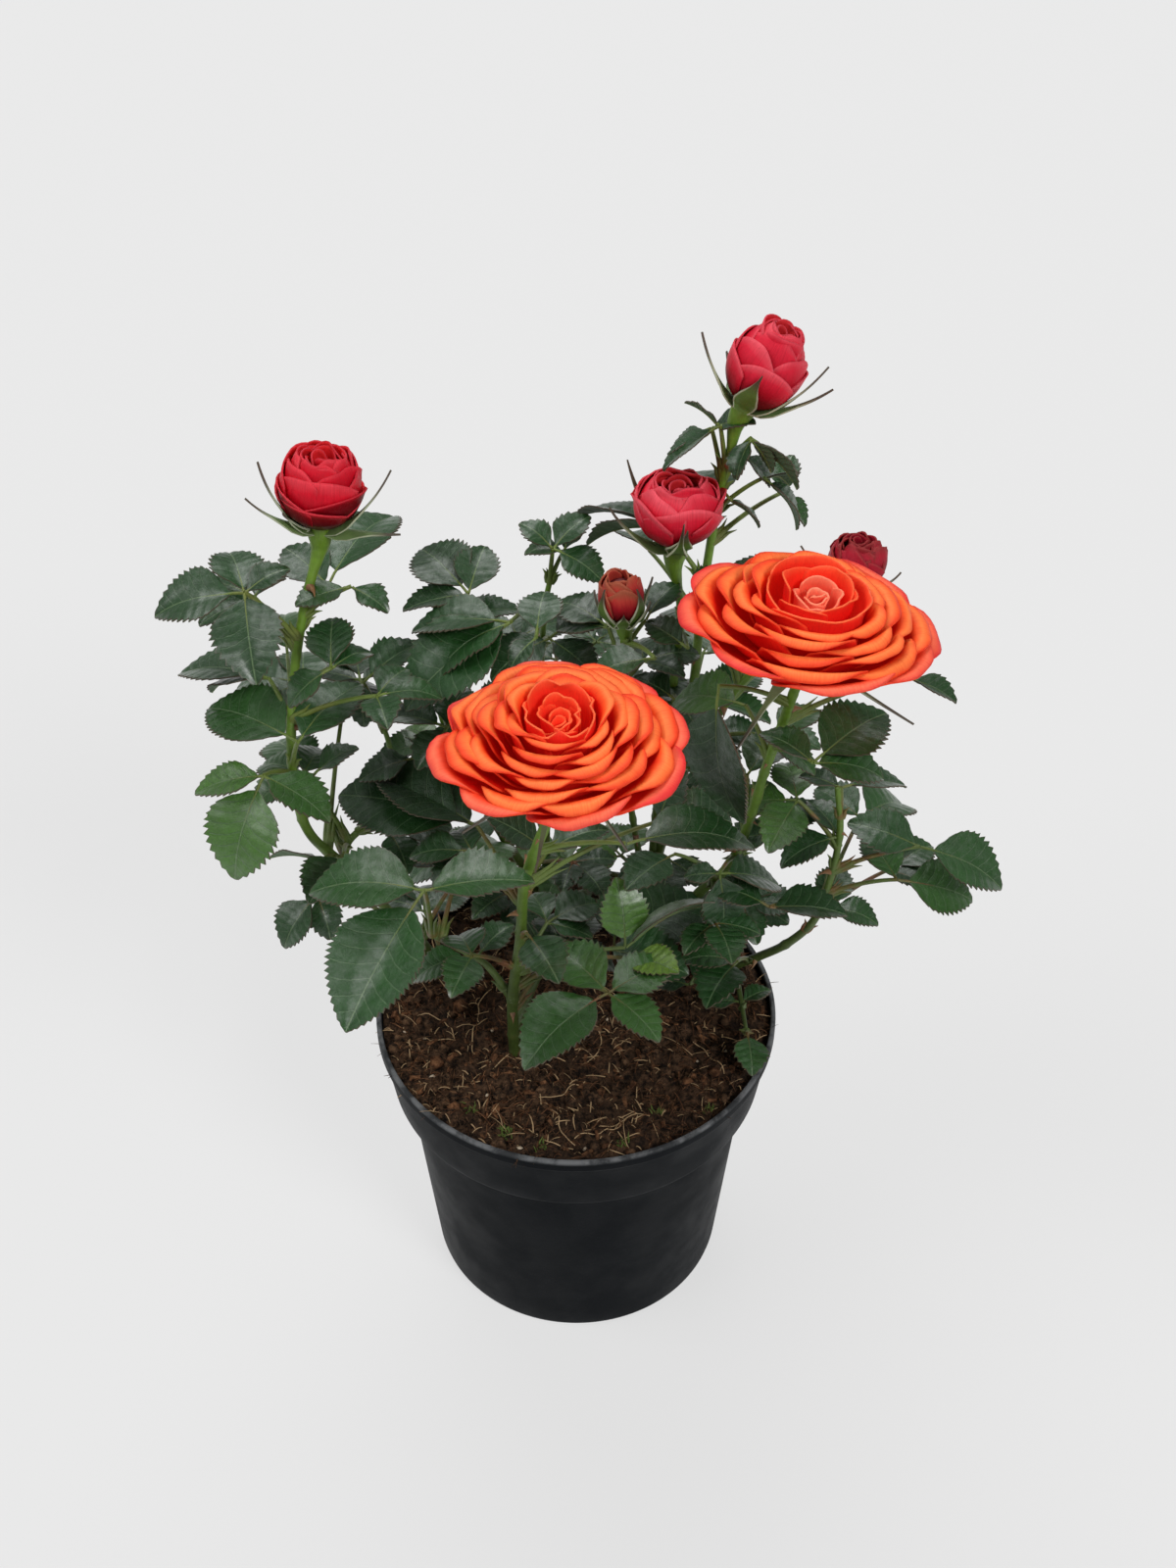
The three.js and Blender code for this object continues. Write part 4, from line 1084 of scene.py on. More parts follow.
def leaf(leaves, strands, line, entry, draw, look_draw):
    """A leaf: its stalk from the cane to the fork, with a sheath at its foot, and its leaflets."""
    fork, *tips = entry
    own_tone = tips.pop() if isinstance(tips[-1], float) else None
    meet = Vector(fork)
    below = meet - Vector((0, 0, PETIOLE_RISE))
    start = min((spot for spot in line[::2] if spot.z > LOWEST_STALK), key=lambda spot: (spot - below).length)
    reach = (meet - start).length
    bend = start.lerp(meet, 0.5) + Vector((0, 0, 0.12 * reach))
    stalk = arc_line(start, bend, meet, 10)
    strands.append((stalk, [table(STALK_RADII, i / 10) for i in range(11)], STALK))
    sheath = [stalk[0].lerp(stalk[3], share) for share in (0.0, 0.35, 0.7, 1.0)]
    flow = (stalk[3] - stalk[0]).normalized()
    aside = flow.cross(Vector((0.2, 0.9, 0.1))).normalized()
    for side in (-1, 1):
        wing = [spot + aside * side * away for spot, away in zip(sheath, (0.6, 1.1, 1.3, 2.3))]
        strands.append((wing, [0.9, 0.7, 0.45, 0.08], STALK))
    mood = look_draw()
    for i, (*spot, turn) in enumerate((*tip, 0)[:4] for tip in tips):
        tip = Vector(spot)
        base = meet + (tip - meet).normalized() * 0.25
        # Leaflets nearer the plant's middle get a lower, darker tone: painted shade deep in the foliage.
        out = min(1.0, math.hypot(tip.x, tip.y) / 90)
        tone = own_tone
        if tone is None:
            tone = 0.6 if mood > 0.88 else 0.34 * mood + 0.14 * out
        tone += 0.14 * look_draw()
        look = (tone, 0.35 * look_draw(), 0.8 * (look_draw() - 0.3), 6.3 * look_draw())
        leaflet(leaves, strands, base, tip, END_STALK if i == 0 else SIDE_STALK, turn, draw, look)


def sepal_sheet(leaves, flower, tip_at, draw, tone):
    """A sepal: broad and cupped at its foot, drawn out into a thin tip."""
    radius = flower.get("radius")
    out_by = radius + SEPAL_CLEARANCE - 2.5 if radius else BLOOM_SEPAL_BEND
    top, up = hip_and_way(flower)
    tip = Vector(tip_at)
    start = top - up * 1.6
    out = tip - start
    out = (out - up * out.dot(up)).normalized()
    start += out * 2
    rise = (tip - start).dot(up)
    bend = start + out * out_by + up * 0.25 * rise
    line = arc_line(start, bend, tip, 18)
    across = out.cross(up).normalized()
    wide = 5.4 if radius is None or radius > 9 else 4.2
    twist = 0.8 * (draw() - 0.5)

    def surface(share, side):
        at = min(17, int(share * 18))
        middle = line[at].lerp(line[at + 1], share * 18 - at)
        flow = (line[at + 1] - line[at]).normalized()
        half = table(SEPAL_WIDTHS, share) * wide / 2
        lift = across.cross(flow).normalized()
        turned = across.copy()
        turned.rotate(Quaternion(flow, twist * share * share))
        cup = 0.16 * (half * side) ** 2
        spot = middle + turned * side * half - lift * cup
        return spot, {"edge": half * (1 - abs(side)), "rib": abs(side) * half}

    leaves.sheet(surface, 20, 6, SEPAL_THICKNESS, (SEPAL, SEPAL_INSIDE, SEPAL), tone)


def hugging_sepal(leaves, flower, turn, top, wide, tone):
    """A sepal that lies on its bud, from the hip up to a share of the bud's height."""
    place = flower_placer(flower)

    def surface(share, side):
        level = mix(-0.05, top, share)
        half = table(HUGGING_WIDTHS, share) * wide / 2
        r = max(3.2, bud_radius(flower, max(0.02, level))) + 0.9 + 1.6 * max(0.0, share - 0.85) * top
        around = turn + side * half / r + 0.12 * share
        r -= 0.02 * (side * half) ** 2
        spot = place(r * math.cos(around), r * math.sin(around), 0.3 + level * flower["height"])
        return spot, {"edge": half * (1 - abs(side)), "rib": abs(side) * half}

    leaves.sheet(surface, 20, 6, SEPAL_THICKNESS, (SEPAL_INSIDE, SEPAL, SEPAL), tone)


def cutting(plant, finishes):
    """One rooted cutting: the stems are one piece and the leaves another."""
    draw, look_draw = draws(17), draws(29 + 3 * len(plant))
    leaves, strands, thick = Mesh(), [], []
    names = [name for name in CANES if CANES[name][0] == plant]
    for name in names:
        line = cane_line(name)
        thick.append(cane_strand(name, line))
        thick += thorn_strands(line, min(CANES[name][1:3]))
        for entry in LEAVES.get(name, []):
            leaf(leaves, strands, line, entry, draw, look_draw)
    for name in names:
        for entry in MORE_LEAVES.get(name, []):
            leaf(leaves, strands, cane_line(name), entry, look_draw, look_draw)
    for name in names:
        flower = flower_on(name)
        for tip in flower["sepals"] if flower else []:
            sepal_sheet(leaves, flower, tip, look_draw, 0.5)
        for turn, top, wide in HUGGING_SEPALS.get(name, []):
            hugging_sepal(leaves, flower, math.radians(turn), top, wide, 0.5)
    stems = Mesh()
    stems.tubes(thick, 4)
    stems.tubes(strands, 2)
    stems.piece(f"stems_{plant}", finishes["stems"], "foliage", f"cutting_{plant}")
    leaves.piece(f"leaves_{plant}", finishes["leaves"], "foliage", f"cutting_{plant}")


# Flowers


def flower_placer(flower):
    """Puts spots that are measured from a flower's hip, beside and along its axis, in their places."""
    foot, up = hip_and_way(flower)
    turn = Vector((0, 0, 1)).rotation_difference(up)

    def place(x, y, height):
        return foot + turn @ Vector((x, y, height))

    return place


def petal(mesh, place, angle, ring, draw):
    """One petal of an open bloom: it rises from the heart, then rolls its lip out and down."""
    reach = ring["reach"] * (1 + 0.08 * (draw() - 0.5))
    height = ring["height"] + 1.6 * (draw() - 0.5) + ring["slant"] * math.sin(angle)
    half = ring["width"] / 2 * (1 + 0.2 * (draw() - 0.5))
    roll = ring["roll"] * (0.75 + 0.5 * draw())
    ruffle, phase, dent = 0.1 + 0.4 * draw(), 6.3 * draw(), ring["dent"] * (0.4 + 0.6 * draw())
    lean, tilt = ring["lean"] + 0.9 * (draw() - 0.5), ring["tilt"] + 0.24 * (draw() - 0.5)
    lip = ring["lip"] / roll
    rim_reach = reach - lip * (math.cos(tilt) - math.cos(tilt + roll))
    rim_height = height - lip * (1 - math.sin(tilt))
    path = [
        (1.4 + 0.1 * rim_reach, 0.8),
        (0.75 * rim_reach + 1.0, ring["low"]),
        (rim_reach - ring["lift"] * math.sin(tilt), rim_height - ring["lift"] * math.cos(tilt)),
        (rim_reach, rim_height),
    ]
    cos, sin = math.cos(angle), math.sin(angle)

    def surface(share, side):
        along = share * (1 - ring["round"] * abs(side) ** 2.5)
        b = min(1.0, along / LIP_START)
        weights = ((1 - b) ** 3, 3 * (1 - b) ** 2 * b, 3 * (1 - b) * b * b, b**3)
        r = sum(weight * spot[0] for weight, spot in zip(weights, path))
        h = sum(weight * spot[1] for weight, spot in zip(weights, path))
        turn_out = roll * max(0.0, along - LIP_START) / (1 - LIP_START)
        r += lip * (math.cos(tilt) - math.cos(tilt + turn_out))
        h += lip * (math.sin(tilt + turn_out) - math.sin(tilt))
        r -= dent * math.exp(-((side / 0.25) ** 2)) * share**4
        fan = 0.35 + 0.65 * math.sin(math.pi / 2 * min(1.0, share / 0.6))
        wide = side * half * fan * (1 - 0.1 * max(0.0, share - 0.6) / 0.4)
        around = max(r * ring["flat"], 2.2 * ring["flat"])
        turn = max(-2.6, min(2.6, wide / around))
        x = r - around + around * math.cos(turn)
        y = around * math.sin(turn)
        h += lean * side * min(1.0, 2 * share) + ruffle * share**4 * math.sin(3.2 * side + phase)
        x += ruffle * share**4 * math.cos(2.6 * side + 2 * phase)
        spot = place(x * cos - y * sin, x * sin + y * cos, max(h, 0.3))
        return spot, {"edge": 1 - abs(side)}

    mesh.sheet(surface, 18, 12, PETAL_THICKNESS, ring["finish"], draw(), crisp=False)


def bloom(name, rings, finishes, seed):
    """An open bloom: rings of petals about its heart, and a small core that they grow from."""
    flower = BLOOMS[name]
    place = flower_placer(flower)
    draw = draws(seed)
    mesh = Mesh()
    turned = 0.0
    for ring in rings:
        turned = ring.get("turn", turned + math.pi / ring["count"] + 0.35)
        for i in range(ring["count"]):
            angle = turned + 2 * math.pi * (i + 0.3 * (draw() - 0.5)) / ring["count"]
            petal(mesh, place, angle, ring, draw)
    crown = rings[0]["height"]
    profile = [(0, 0.3), (3.2, 0.3), (4.2, 0.25 * crown), (3.0, 0.5 * crown), (0, 0.62 * crown)]
    mesh.core(profile, 20, PETAL_FOOT, place)
    mesh.piece(name.replace("bloom_", "") + "_bloom", finishes, "orange_petal", name)


def bud_radius(flower, share):
    """How wide a bud is at a share of its height: as its own profile has it, or like an egg."""
    if "profile" in flower:
        return flower["radius"] * table(flower["profile"], share)
    return flower["radius"] * math.sin(math.pi * min(0.97, 0.06 + 0.86 * share) ** 0.92) ** 0.62


def bud(name, tiers, finishes, slot, seed):
    """A bud: tiers of petals wrapped about each other, and a swirl of petal edges at its top."""
    flower = BUDS[name]
    place = flower_placer(flower)
    draw = draws(seed)
    mesh = Mesh()
    tall = flower["height"]

    def wrap(tier):
        for i in range(tier["count"]):
            angle = tier["turn"] + 2 * math.pi * (i + 0.16 * (draw() - 0.5)) / tier["count"]
            spread = tier["spread"] * math.pi / tier["count"] * (1 + 0.1 * (draw() - 0.5))
            top = tier["top"] + 0.05 * (draw() - 0.5)
            flare, phase = tier["flare"], 6.3 * draw()
            ruffle = tier.get("ruffle", 0.25)

            def surface(share, side):
                up = share * (1 - tier["round"] * abs(side) ** 2.6)
                level = tier["foot"] + (top - tier["foot"]) * up
                r = bud_radius(flower, min(1.0, level)) * tier["stand"]
                r = max(r, tier.get("inner", 0.0) * flower["radius"])
                r += 0.4 * side * min(1.0, 3 * share)
                r += flare * max(0.0, share - 0.72) ** 2 * 12 * (1 - 0.4 * side * side)
                r += ruffle * share**4 * math.sin(4.4 * side + phase)
                turn = angle + side * spread * (0.45 + 0.55 * math.sin(math.pi / 2 * min(1, share / 0.45)))
                h = 0.5 + level * (tall - 0.5) + ruffle * share**4 * math.cos(3.7 * side + phase)
                spot = place(max(0.3, r) * math.cos(turn), max(0.3, r) * math.sin(turn), h)
                return spot, {"edge": 1 - abs(side)}

            sides = tier.get("finish", (BUD_INSIDE, BUD_OUTSIDE, BUD_EDGE))
            mesh.sheet(surface, 16, 12, PETAL_THICKNESS, sides, draw(), crisp=False)

    for tier in tiers:
        wrap(tier)
    profile = [(0, 0.3), (0.3 * flower["radius"], 0.3)]
    profile += [(0.8 * bud_radius(flower, share), 0.3 + share * tall) for share in (0.1, 0.2, 0.35, 0.5, 0.65)]
    profile += [(0.62 * bud_radius(flower, 0.8), 0.8 * tall), (0, 0.88 * tall)]
    mesh.core(profile, 28, BUD_HEART, place)
    mesh.piece(name.replace("bud_", "") + "_bud", finishes, slot, name)


# Pot, soil and litter


def wall_radius(height):
    """The outer radius of the pot's wall below its band."""
    return mix(BASE_RADIUS, WALL_TOP_RADIUS, height / (RIM_HEIGHT - BAND_HEIGHT))


def band_radius(height):
    """The outer radius of the pot's rim band."""
    return mix(BAND_FOOT_RADIUS, RIM_RADIUS, (height - RIM_HEIGHT + BAND_HEIGHT) / BAND_HEIGHT)


def rounded(corners, steps=4):
    """A profile with its corners rounded: each corner is its radius, height and rounding."""
    line = []
    for i, (radius, height, rounding) in enumerate(corners):
        here = Vector((radius, height))
        if not rounding:
            line.append(here)
            continue
        before = Vector(corners[i - 1][:2])
        after = Vector(corners[(i + 1) % len(corners)][:2])
        a = here + (before - here).normalized() * rounding
        b = here + (after - here).normalized() * rounding
        shares = [j / steps for j in range(steps + 1)]
        line += [a * (1 - t) ** 2 + here * 2 * t * (1 - t) + b * t * t for t in shares]
    return [(spot.x, spot.y) for spot in line]


def pot(finish):
    """The thin plastic pot: tapering wall, stepped rim band, and drain holes in its floor."""
    foot = RIM_HEIGHT - BAND_HEIGHT
    shoulder = foot + POT_WALL
    profile = rounded(
        [
            (0, 0, 0),
            (BASE_RADIUS - BASE_ROUNDING - 4, 0, 0),
            (BASE_RADIUS - BASE_ROUNDING - 3.5, 1.0, 0.4),
            (BASE_RADIUS - BASE_ROUNDING - 2.2, 1.0, 0.4),
            (BASE_RADIUS - BASE_ROUNDING - 1.8, 0, 0.4),
            (BASE_RADIUS - 0.1, 0, 2.6),
            (wall_radius(foot - 2), foot - 2, 0),
            (wall_radius(foot) + 0.2, foot, 1.2),
            (BAND_FOOT_RADIUS - 0.1, foot, 1.4),
            (RIM_RADIUS - 1.0, RIM_HEIGHT - 4.6, 0.8),
            (RIM_RADIUS, RIM_HEIGHT - 4.0, 0.5),
            (RIM_RADIUS, RIM_HEIGHT, 0.7),
            (RIM_RADIUS - POT_WALL - 0.2, RIM_HEIGHT, 0.5),
            (band_radius(shoulder) - POT_WALL, shoulder, 1.2),
            (WALL_TOP_RADIUS - POT_WALL, shoulder, 1.0),
            (wall_radius(FLOOR_THICKNESS) - POT_WALL, FLOOR_THICKNESS, 2.0),
            (0, FLOOR_THICKNESS, 0),
        ]
    )
    filled = []
    for a, b in zip(profile, profile[1:]):
        parts = max(1, int(math.hypot(b[0] - a[0], b[1] - a[1]) / 6))
        filled += [(mix(a[0], b[0], i / parts), mix(a[1], b[1], i / parts)) for i in range(parts)]
    filled.append(profile[-1])
    mesh = Mesh()
    mesh.turned(filled, 144)
    shell = mesh.piece("pot_shell", [finish], "pot_plastic", "pot")
    drills = bmesh.new()
    for i in range(DRAIN_HOLES):
        turn = 2 * math.pi * i / DRAIN_HOLES
        spot = Vector((math.cos(turn), math.sin(turn), 0)) * DRAIN_CIRCLE * MM
        hole = bmesh.ops.create_cone(
            drills, cap_ends=True, segments=24, depth=0.008,
            radius1=DRAIN_RADIUS * MM, radius2=DRAIN_RADIUS * MM,
        )
        bmesh.ops.translate(drills, vec=spot, verts=hole["verts"])
    cutter = in_scene("drills", as_data("drills", drills))
    cut = shell.modifiers.new("drain holes", "BOOLEAN")
    cut.operation, cut.object, cut.solver = "DIFFERENCE", cutter, "EXACT"
    drilled = as_shown(shell)
    shell.modifiers.clear()
    shell.data = drilled
    bpy.data.objects.remove(cutter)


def soil_height(x, y):
    """The soil's height as the solids have it, with a mound and gentle clods."""
    reach = math.hypot(x, y) / BAND_FOOT_RADIUS
    mound = MOUND_HEIGHT * max(0.0, (0.8 * x + 0.6 * y) / BAND_FOOT_RADIUS) * (0.4 + 0.6 * reach)
    clods = math.sin(0.31 * x + 1.3) * math.cos(0.27 * y - 0.6) + 0.5 * math.sin(0.55 * y + 0.2 * x)
    return SOIL_LEVEL + mound + CLOD_HEIGHT * clods


def peat_height(x, y):
    """The soil's height with its crumbs and hollows."""
    inset = max(0.0, 1 - (math.hypot(x, y) / PEAT_REACH) ** 6)
    rough = 2.6 * noise.fractal(Vector((x * 0.09, y * 0.09, 3.1)), 1.0, 2.0, 3)
    crumbs = 1.5 * noise.fractal(Vector((x * 0.42, y * 0.42, 7.7)), 0.8, 2.1, 3)
    return mix(SOIL_LEVEL, soil_height(x, y), min(1.0, inset * 3)) + (rough + crumbs) * (0.35 + 0.65 * inset)


def soil(finish):
    """The peat: a closed body that fills the pot, with a rough top."""
    inset = POT_WALL + SEAT_GAP
    shoulder = RIM_HEIGHT - BAND_HEIGHT + inset
    edge = band_radius(SOIL_LEVEL) - inset
    profile = [
        (0, FLOOR_THICKNESS + SEAT_GAP),
        (wall_radius(FLOOR_THICKNESS) - inset, FLOOR_THICKNESS + SEAT_GAP),
        (WALL_TOP_RADIUS - inset, shoulder),
        (band_radius(shoulder) - inset, shoulder),
        (edge, SOIL_LEVEL - 2),
    ]
    rings = 58
    profile += [(edge * (1 - i / rings), SOIL_LEVEL) for i in range(rings + 1)]
    mesh = Mesh()
    mesh.turned(profile, 200)
    for vert in mesh.bm.verts:
        if vert.co.z > SOIL_LEVEL - 0.5:
            vert.co.z = peat_height(vert.co.x, vert.co.y)
    mesh.piece("peat", [finish], "peat", "soil")


def litter(finishes):
    """Crumbs, fibres, bits of bark, root threads and pale flecks lying on the soil."""
    draw = draws(97)
    mesh = Mesh()

    def ground(reach, turn):
        x, y = reach * math.cos(turn), reach * math.sin(turn)
        return Vector((x, y, peat_height(x, y)))

    def somewhere():
        return ground(LITTER_REACH * math.sqrt(draw()), 2 * math.pi * draw())

    for i in range(CRUMBS):
        at = somewhere()
        shade = CRUMB if draw() < 0.8 else CHIP if draw() < 0.8 else FLECK
        size = 0.5 + (0.4 if shade == FLECK else 1.5) * draw() ** 3
        crumb = bmesh.ops.create_icosphere(mesh.bm, subdivisions=1, radius=size)["verts"]
        squash = Vector((0.7 + 0.7 * draw(), 0.7 + 0.7 * draw(), 0.5 + 0.4 * draw()))
        for vert in crumb:
            bulge = 1 + 0.35 * math.sin(7 * vert.co.x + 5 * vert.co.y + i)
            vert.co = Vector(a * b for a, b in zip(vert.co, squash)) * bulge + at + Vector((0, 0, 0.3 * size))
        for face in {face for vert in crumb for face in vert.link_faces}:
            face.material_index = shade
            face.smooth = True
    for _ in range(CHIPS):
        at = somewhere()
        chip = bmesh.ops.create_cube(mesh.bm, size=1.0)["verts"]
        bmesh.ops.scale(mesh.bm, vec=(1.2 + 2.6 * draw(), 0.6 + 0.9 * draw(), 0.35 + 0.3 * draw()), verts=chip)
        turn = Quaternion((draw() - 0.5, draw() - 0.5, 2 * draw()), 3 * draw())
        for vert in chip:
            vert.co = turn @ vert.co + at + Vector((0, 0, 0.4))
        for face in {face for vert in chip for face in vert.link_faces}:
            face.material_index = CHIP
    strands = []
    for _ in range(FIBRES):
        at = somewhere()
        turn, length = 2 * math.pi * draw(), 1.6 + 5.2 * draw() ** 2
        way = Vector((math.cos(turn), math.sin(turn), 0.8 * (draw() - 0.35)))
        swerve = Vector((-way.y, way.x, 0)) * (draw() - 0.5) * length * 0.6
        lift = Vector((0, 0, 0.25 + 0.6 * draw()))
        shares = (0, 0.35, 0.7, 1)
        points = [at + way * length * t + swerve * t * t + lift * (1 - (2 * t - 1) ** 2) for t in shares]
        thick = 0.08 + 0.13 * draw()
        kind = CRUMB if draw() < 0.5 else CHIP if draw() < 0.72 else THREAD
        strands.append((points, [thick, thick, 0.8 * thick, 0.4 * thick], kind))
    for _ in range(ROOT_THREADS):
        at = somewhere()
        turn = 2 * math.pi * draw()
        points = []
        for _ in range(9):
            points.append(Vector((at.x, at.y, peat_height(at.x, at.y) + 0.5)))
            turn += 0.9 * (draw() - 0.5)
            at = at + Vector((math.cos(turn), math.sin(turn), 0)) * 1.9
            if math.hypot(at.x, at.y) > BAND_FOOT_RADIUS:
                break
        if len(points) > 3:
            strands.append((smooth_line(points, 14), [0.17] * 15, THREAD))
    mesh.tubes(strands, 0)
    mesh.piece("soil_litter", finishes, "peat")


def moss(finish):
    """Small green tufts on the soil, most of them near the front of the rim."""
    draw = draws(53)
    mesh = Mesh()
    strands = []
    for reach, turn, many in MOSS_TUFTS:
        turn = math.radians(turn)
        for _ in range(many):
            x = reach * math.cos(turn) + 3.2 * (draw() - 0.5)
            y = reach * math.sin(turn) + 3.2 * (draw() - 0.5)
            foot = Vector((x, y, peat_height(x, y) - 0.2))
            way = Vector((draw() - 0.5, draw() - 0.5, 0.55 + 0.5 * draw())) * (1.3 + 1.2 * draw())
            points = [foot, foot + way * 0.6, foot + way + Vector((way.x, way.y, 0)) * 0.4]
            strands.append((points, [0.22, 0.2, 0.05], 0))
    mesh.tubes(strands, 0)
    mesh.piece("moss", [finish], "foliage")


# The plant


def petal_sides(pale, inner, lowest):
    """Which of a bloom's finishes a petal has on its face, its back and its edge."""
    if pale:
        return PALE_PETAL, PALE_PETAL, PALE_EDGE
    if inner:
        return HEART_PETAL, PETAL_BACK, HEART_EDGE
    return LOWEST_PETAL if lowest else OUTER_PETAL, PETAL_BACK, OUTER_EDGE


def ring_rows(rings, upright, pale, fold):
    """The open bloom's rings, with the shape of petal that their place in it gives them: upright ones
    about the heart, folded in their middles and the first few of them pale, and outer ones that lean
    and roll out more and more."""
    outer = rings[-1][0]
    rows = []
    for number, (reach, height, count, width) in enumerate(rings):
        share = reach / outer
        inner = number < upright
        row = {
            "reach": reach, "height": height, "count": count, "width": width,
            "low": max(0.6, mix(3.5, 0.4, share)),
            "lift": mix(7.5, 3.0, share),
            "finish": petal_sides(number < pale, inner, share == 1),
        }
        if inner:
            row |= {
                "slant": 2.4 * number / upright, "lip": 2.6, "tilt": 0.0, "roll": 0.6, "flat": 1.0,
                "lean": 0.7, "round": 0.28, "dent": min(fold, 0.4 * reach),
            }
        else:
            row |= {
                "slant": 2.2 * (1 - share), "lip": mix(4.4, 6.0, share), "tilt": mix(0.0, 0.7, share),
                "roll": mix(1.9, 1.7, share), "flat": mix(1.0, 1.2, share),
                "lean": 1.0, "round": 0.38, "dent": 0.5,
            }
        if number == upright - 1:
            row["turn"] = -math.pi / 2
        rows.append(row)
    return rows


def orange_finishes():
    inner = [(0.0, 214, 28, 18), (0.5, 236, 48, 32), (0.85, 246, 78, 46), (1.0, 250, 104, 62)]
    # The outer and lowest petals are lightest at 0.82 of the way along, on the crest of the rolled lip, and
    # darker again towards the tip where the lip rolls down: a painted highlight on the crest and painted shade
    # under it.
    outer = [
        (0.0, 184, 10, 6), (0.42, 206, 16, 8), (0.58, 224, 32, 14), (0.7, 245, 84, 34), (0.82, 255, 134, 70),
        (0.93, 250, 106, 54), (1.0, 240, 74, 40),
    ]
    lowest = [
        (0.0, 176, 10, 8), (0.5, 206, 20, 14), (0.72, 238, 72, 40), (0.84, 250, 116, 84), (1.0, 226, 60, 58),
    ]
    back = [(0.0, 176, 10, 8), (0.5, 218, 24, 18), (0.85, 240, 50, 34), (1.0, 246, 80, 48)]
    edge = [(0.0, 228, 44, 20), (1.0, 240, 74, 40)]
    rim = [(0.0, 232, 46, 20), (0.7, 240, 76, 40), (1.0, 250, 112, 66)]
    pale = [(0.0, 230, 60, 44), (0.5, 240, 92, 68), (0.85, 246, 126, 96), (1.0, 252, 156, 122)]
    pale_rim = [(0.0, 240, 92, 68), (1.0, 252, 150, 116)]
    flush, glow = (206, 16, 10), 0.08
    return [
        petal_finish("heart petal", inner, flush, glow=0.16),
        petal_finish("petal back", back, (180, 10, 10), 0.6, glow=glow),
        petal_finish("heart petal edge", rim, flush, glow=glow),
        petal_finish("outer petal", outer, flush, glow=glow),
        petal_finish("outer petal edge", edge, flush, glow=glow),
        petal_finish("pale heart petal", pale, (236, 70, 60), glow=glow),
        petal_finish("pale heart petal edge", pale_rim, flush, glow=glow),
        petal_finish("lowest petal", lowest, flush, glow=glow),
        plain_finish("petal foot", (180, 40, 15), 0.6, 300.0, 0.3),
    ]


def bud_finishes(kind, outside, edge, inside, flush):
    return [
        petal_finish(kind + " petal", outside, flush, 0.48, glow=0.03),
        petal_finish(kind + " petal inside", inside, flush, 0.55),
        petal_finish(kind + " petal edge", edge, flush, 0.5),
        plain_finish(kind + " heart", flush, 0.6, 300.0, 0.3),
    ]


greens = {
    "stems": [
        stem_finish("cane bark", (58, 74, 26), (100, 134, 34), (92, 58, 34), 0.26),
        stem_finish("leaf stalk", (70, 88, 36), (98, 118, 46), (120, 58, 38), 0.45),
        stem_finish("thorn", (120, 88, 52), (136, 96, 60), (92, 52, 36), 0.5),
    ],
    "leaves": [
        leaf_face_finish(), leaf_back_finish(), leaf_edge_finish(),
        sepal_finish("sepal", (82, 112, 36), True), sepal_finish("sepal inside", (104, 126, 74), False),
    ],
}
for plant in ("left", "front", "right", "low", "back", "middle"):
    cutting(plant, greens)

oranges = orange_finishes()
bloom("bloom_front", ring_rows(FRONT_RINGS, 4, 0, 3.4), oranges, 71)
bloom("bloom_right", ring_rows(RIGHT_RINGS, 5, 3, 1.2), oranges, 83)

# The buds' ramps run from dark at the petals' feet to light at their tops: painted shade low on each bud and a
# painted highlight at its top, over the petals' own crimson and scarlet. The browner tips of the withered and
# browned buds are their own colour.
crimson = bud_finishes(
    "crimson",
    [(0.0, 64, 0, 8), (0.35, 118, 2, 18), (0.6, 182, 12, 36), (0.84, 222, 36, 60), (1.0, 236, 84, 98)],
    [(0.0, 150, 14, 30), (0.8, 196, 34, 56), (1.0, 216, 70, 84)],
    [(0.0, 120, 6, 10), (0.6, 184, 18, 26), (1.0, 206, 44, 50)],
    (118, 4, 14),
)
scarlet = bud_finishes(
    "scarlet",
    [(0.0, 60, 0, 6), (0.35, 104, 0, 12), (0.6, 170, 6, 26), (0.84, 216, 22, 44), (1.0, 232, 60, 74)],
    [(0.0, 140, 8, 20), (0.8, 190, 22, 42), (1.0, 212, 56, 68)],
    [(0.0, 130, 4, 8), (0.6, 204, 18, 26), (1.0, 226, 40, 46)],
    (110, 2, 10),
)
# The left bud's lowest outer petals, darker still and darkest at their feet: painted shade low under the bud.
shaded_lower_scarlet = [(0.0, 46, 0, 5), (0.5, 80, 0, 10), (0.8, 126, 3, 18), (0.93, 176, 12, 32), (1.0, 214, 44, 58)]
scarlet.append(petal_finish("shaded lower scarlet petal", shaded_lower_scarlet, (80, 0, 8), 0.38, glow=0.01))
withered = bud_finishes(
    "withered",
    [(0.0, 66, 4, 14), (0.55, 126, 14, 32), (0.85, 176, 30, 50), (1.0, 150, 50, 52)],
    [(0.0, 110, 16, 28), (1.0, 150, 50, 50)],
    [(0.0, 60, 4, 14), (1.0, 150, 20, 38)],
    (44, 4, 12),
)
browned = bud_finishes(
    "browned",
    [(0.0, 70, 0, 8), (0.35, 118, 4, 18), (0.62, 168, 26, 36), (0.84, 186, 62, 52), (1.0, 160, 84, 60)],
    [(0.0, 130, 16, 26), (1.0, 170, 90, 66)],
    [(0.0, 110, 6, 10), (1.0, 172, 60, 48)],
    (84, 6, 12),
)


def tier(kind, count, turn, **changes):
    """A tier of a bud's petals: one of the usual kinds, with its own changes."""
    return {**TIERS[kind], "count": count, "turn": turn, **changes}


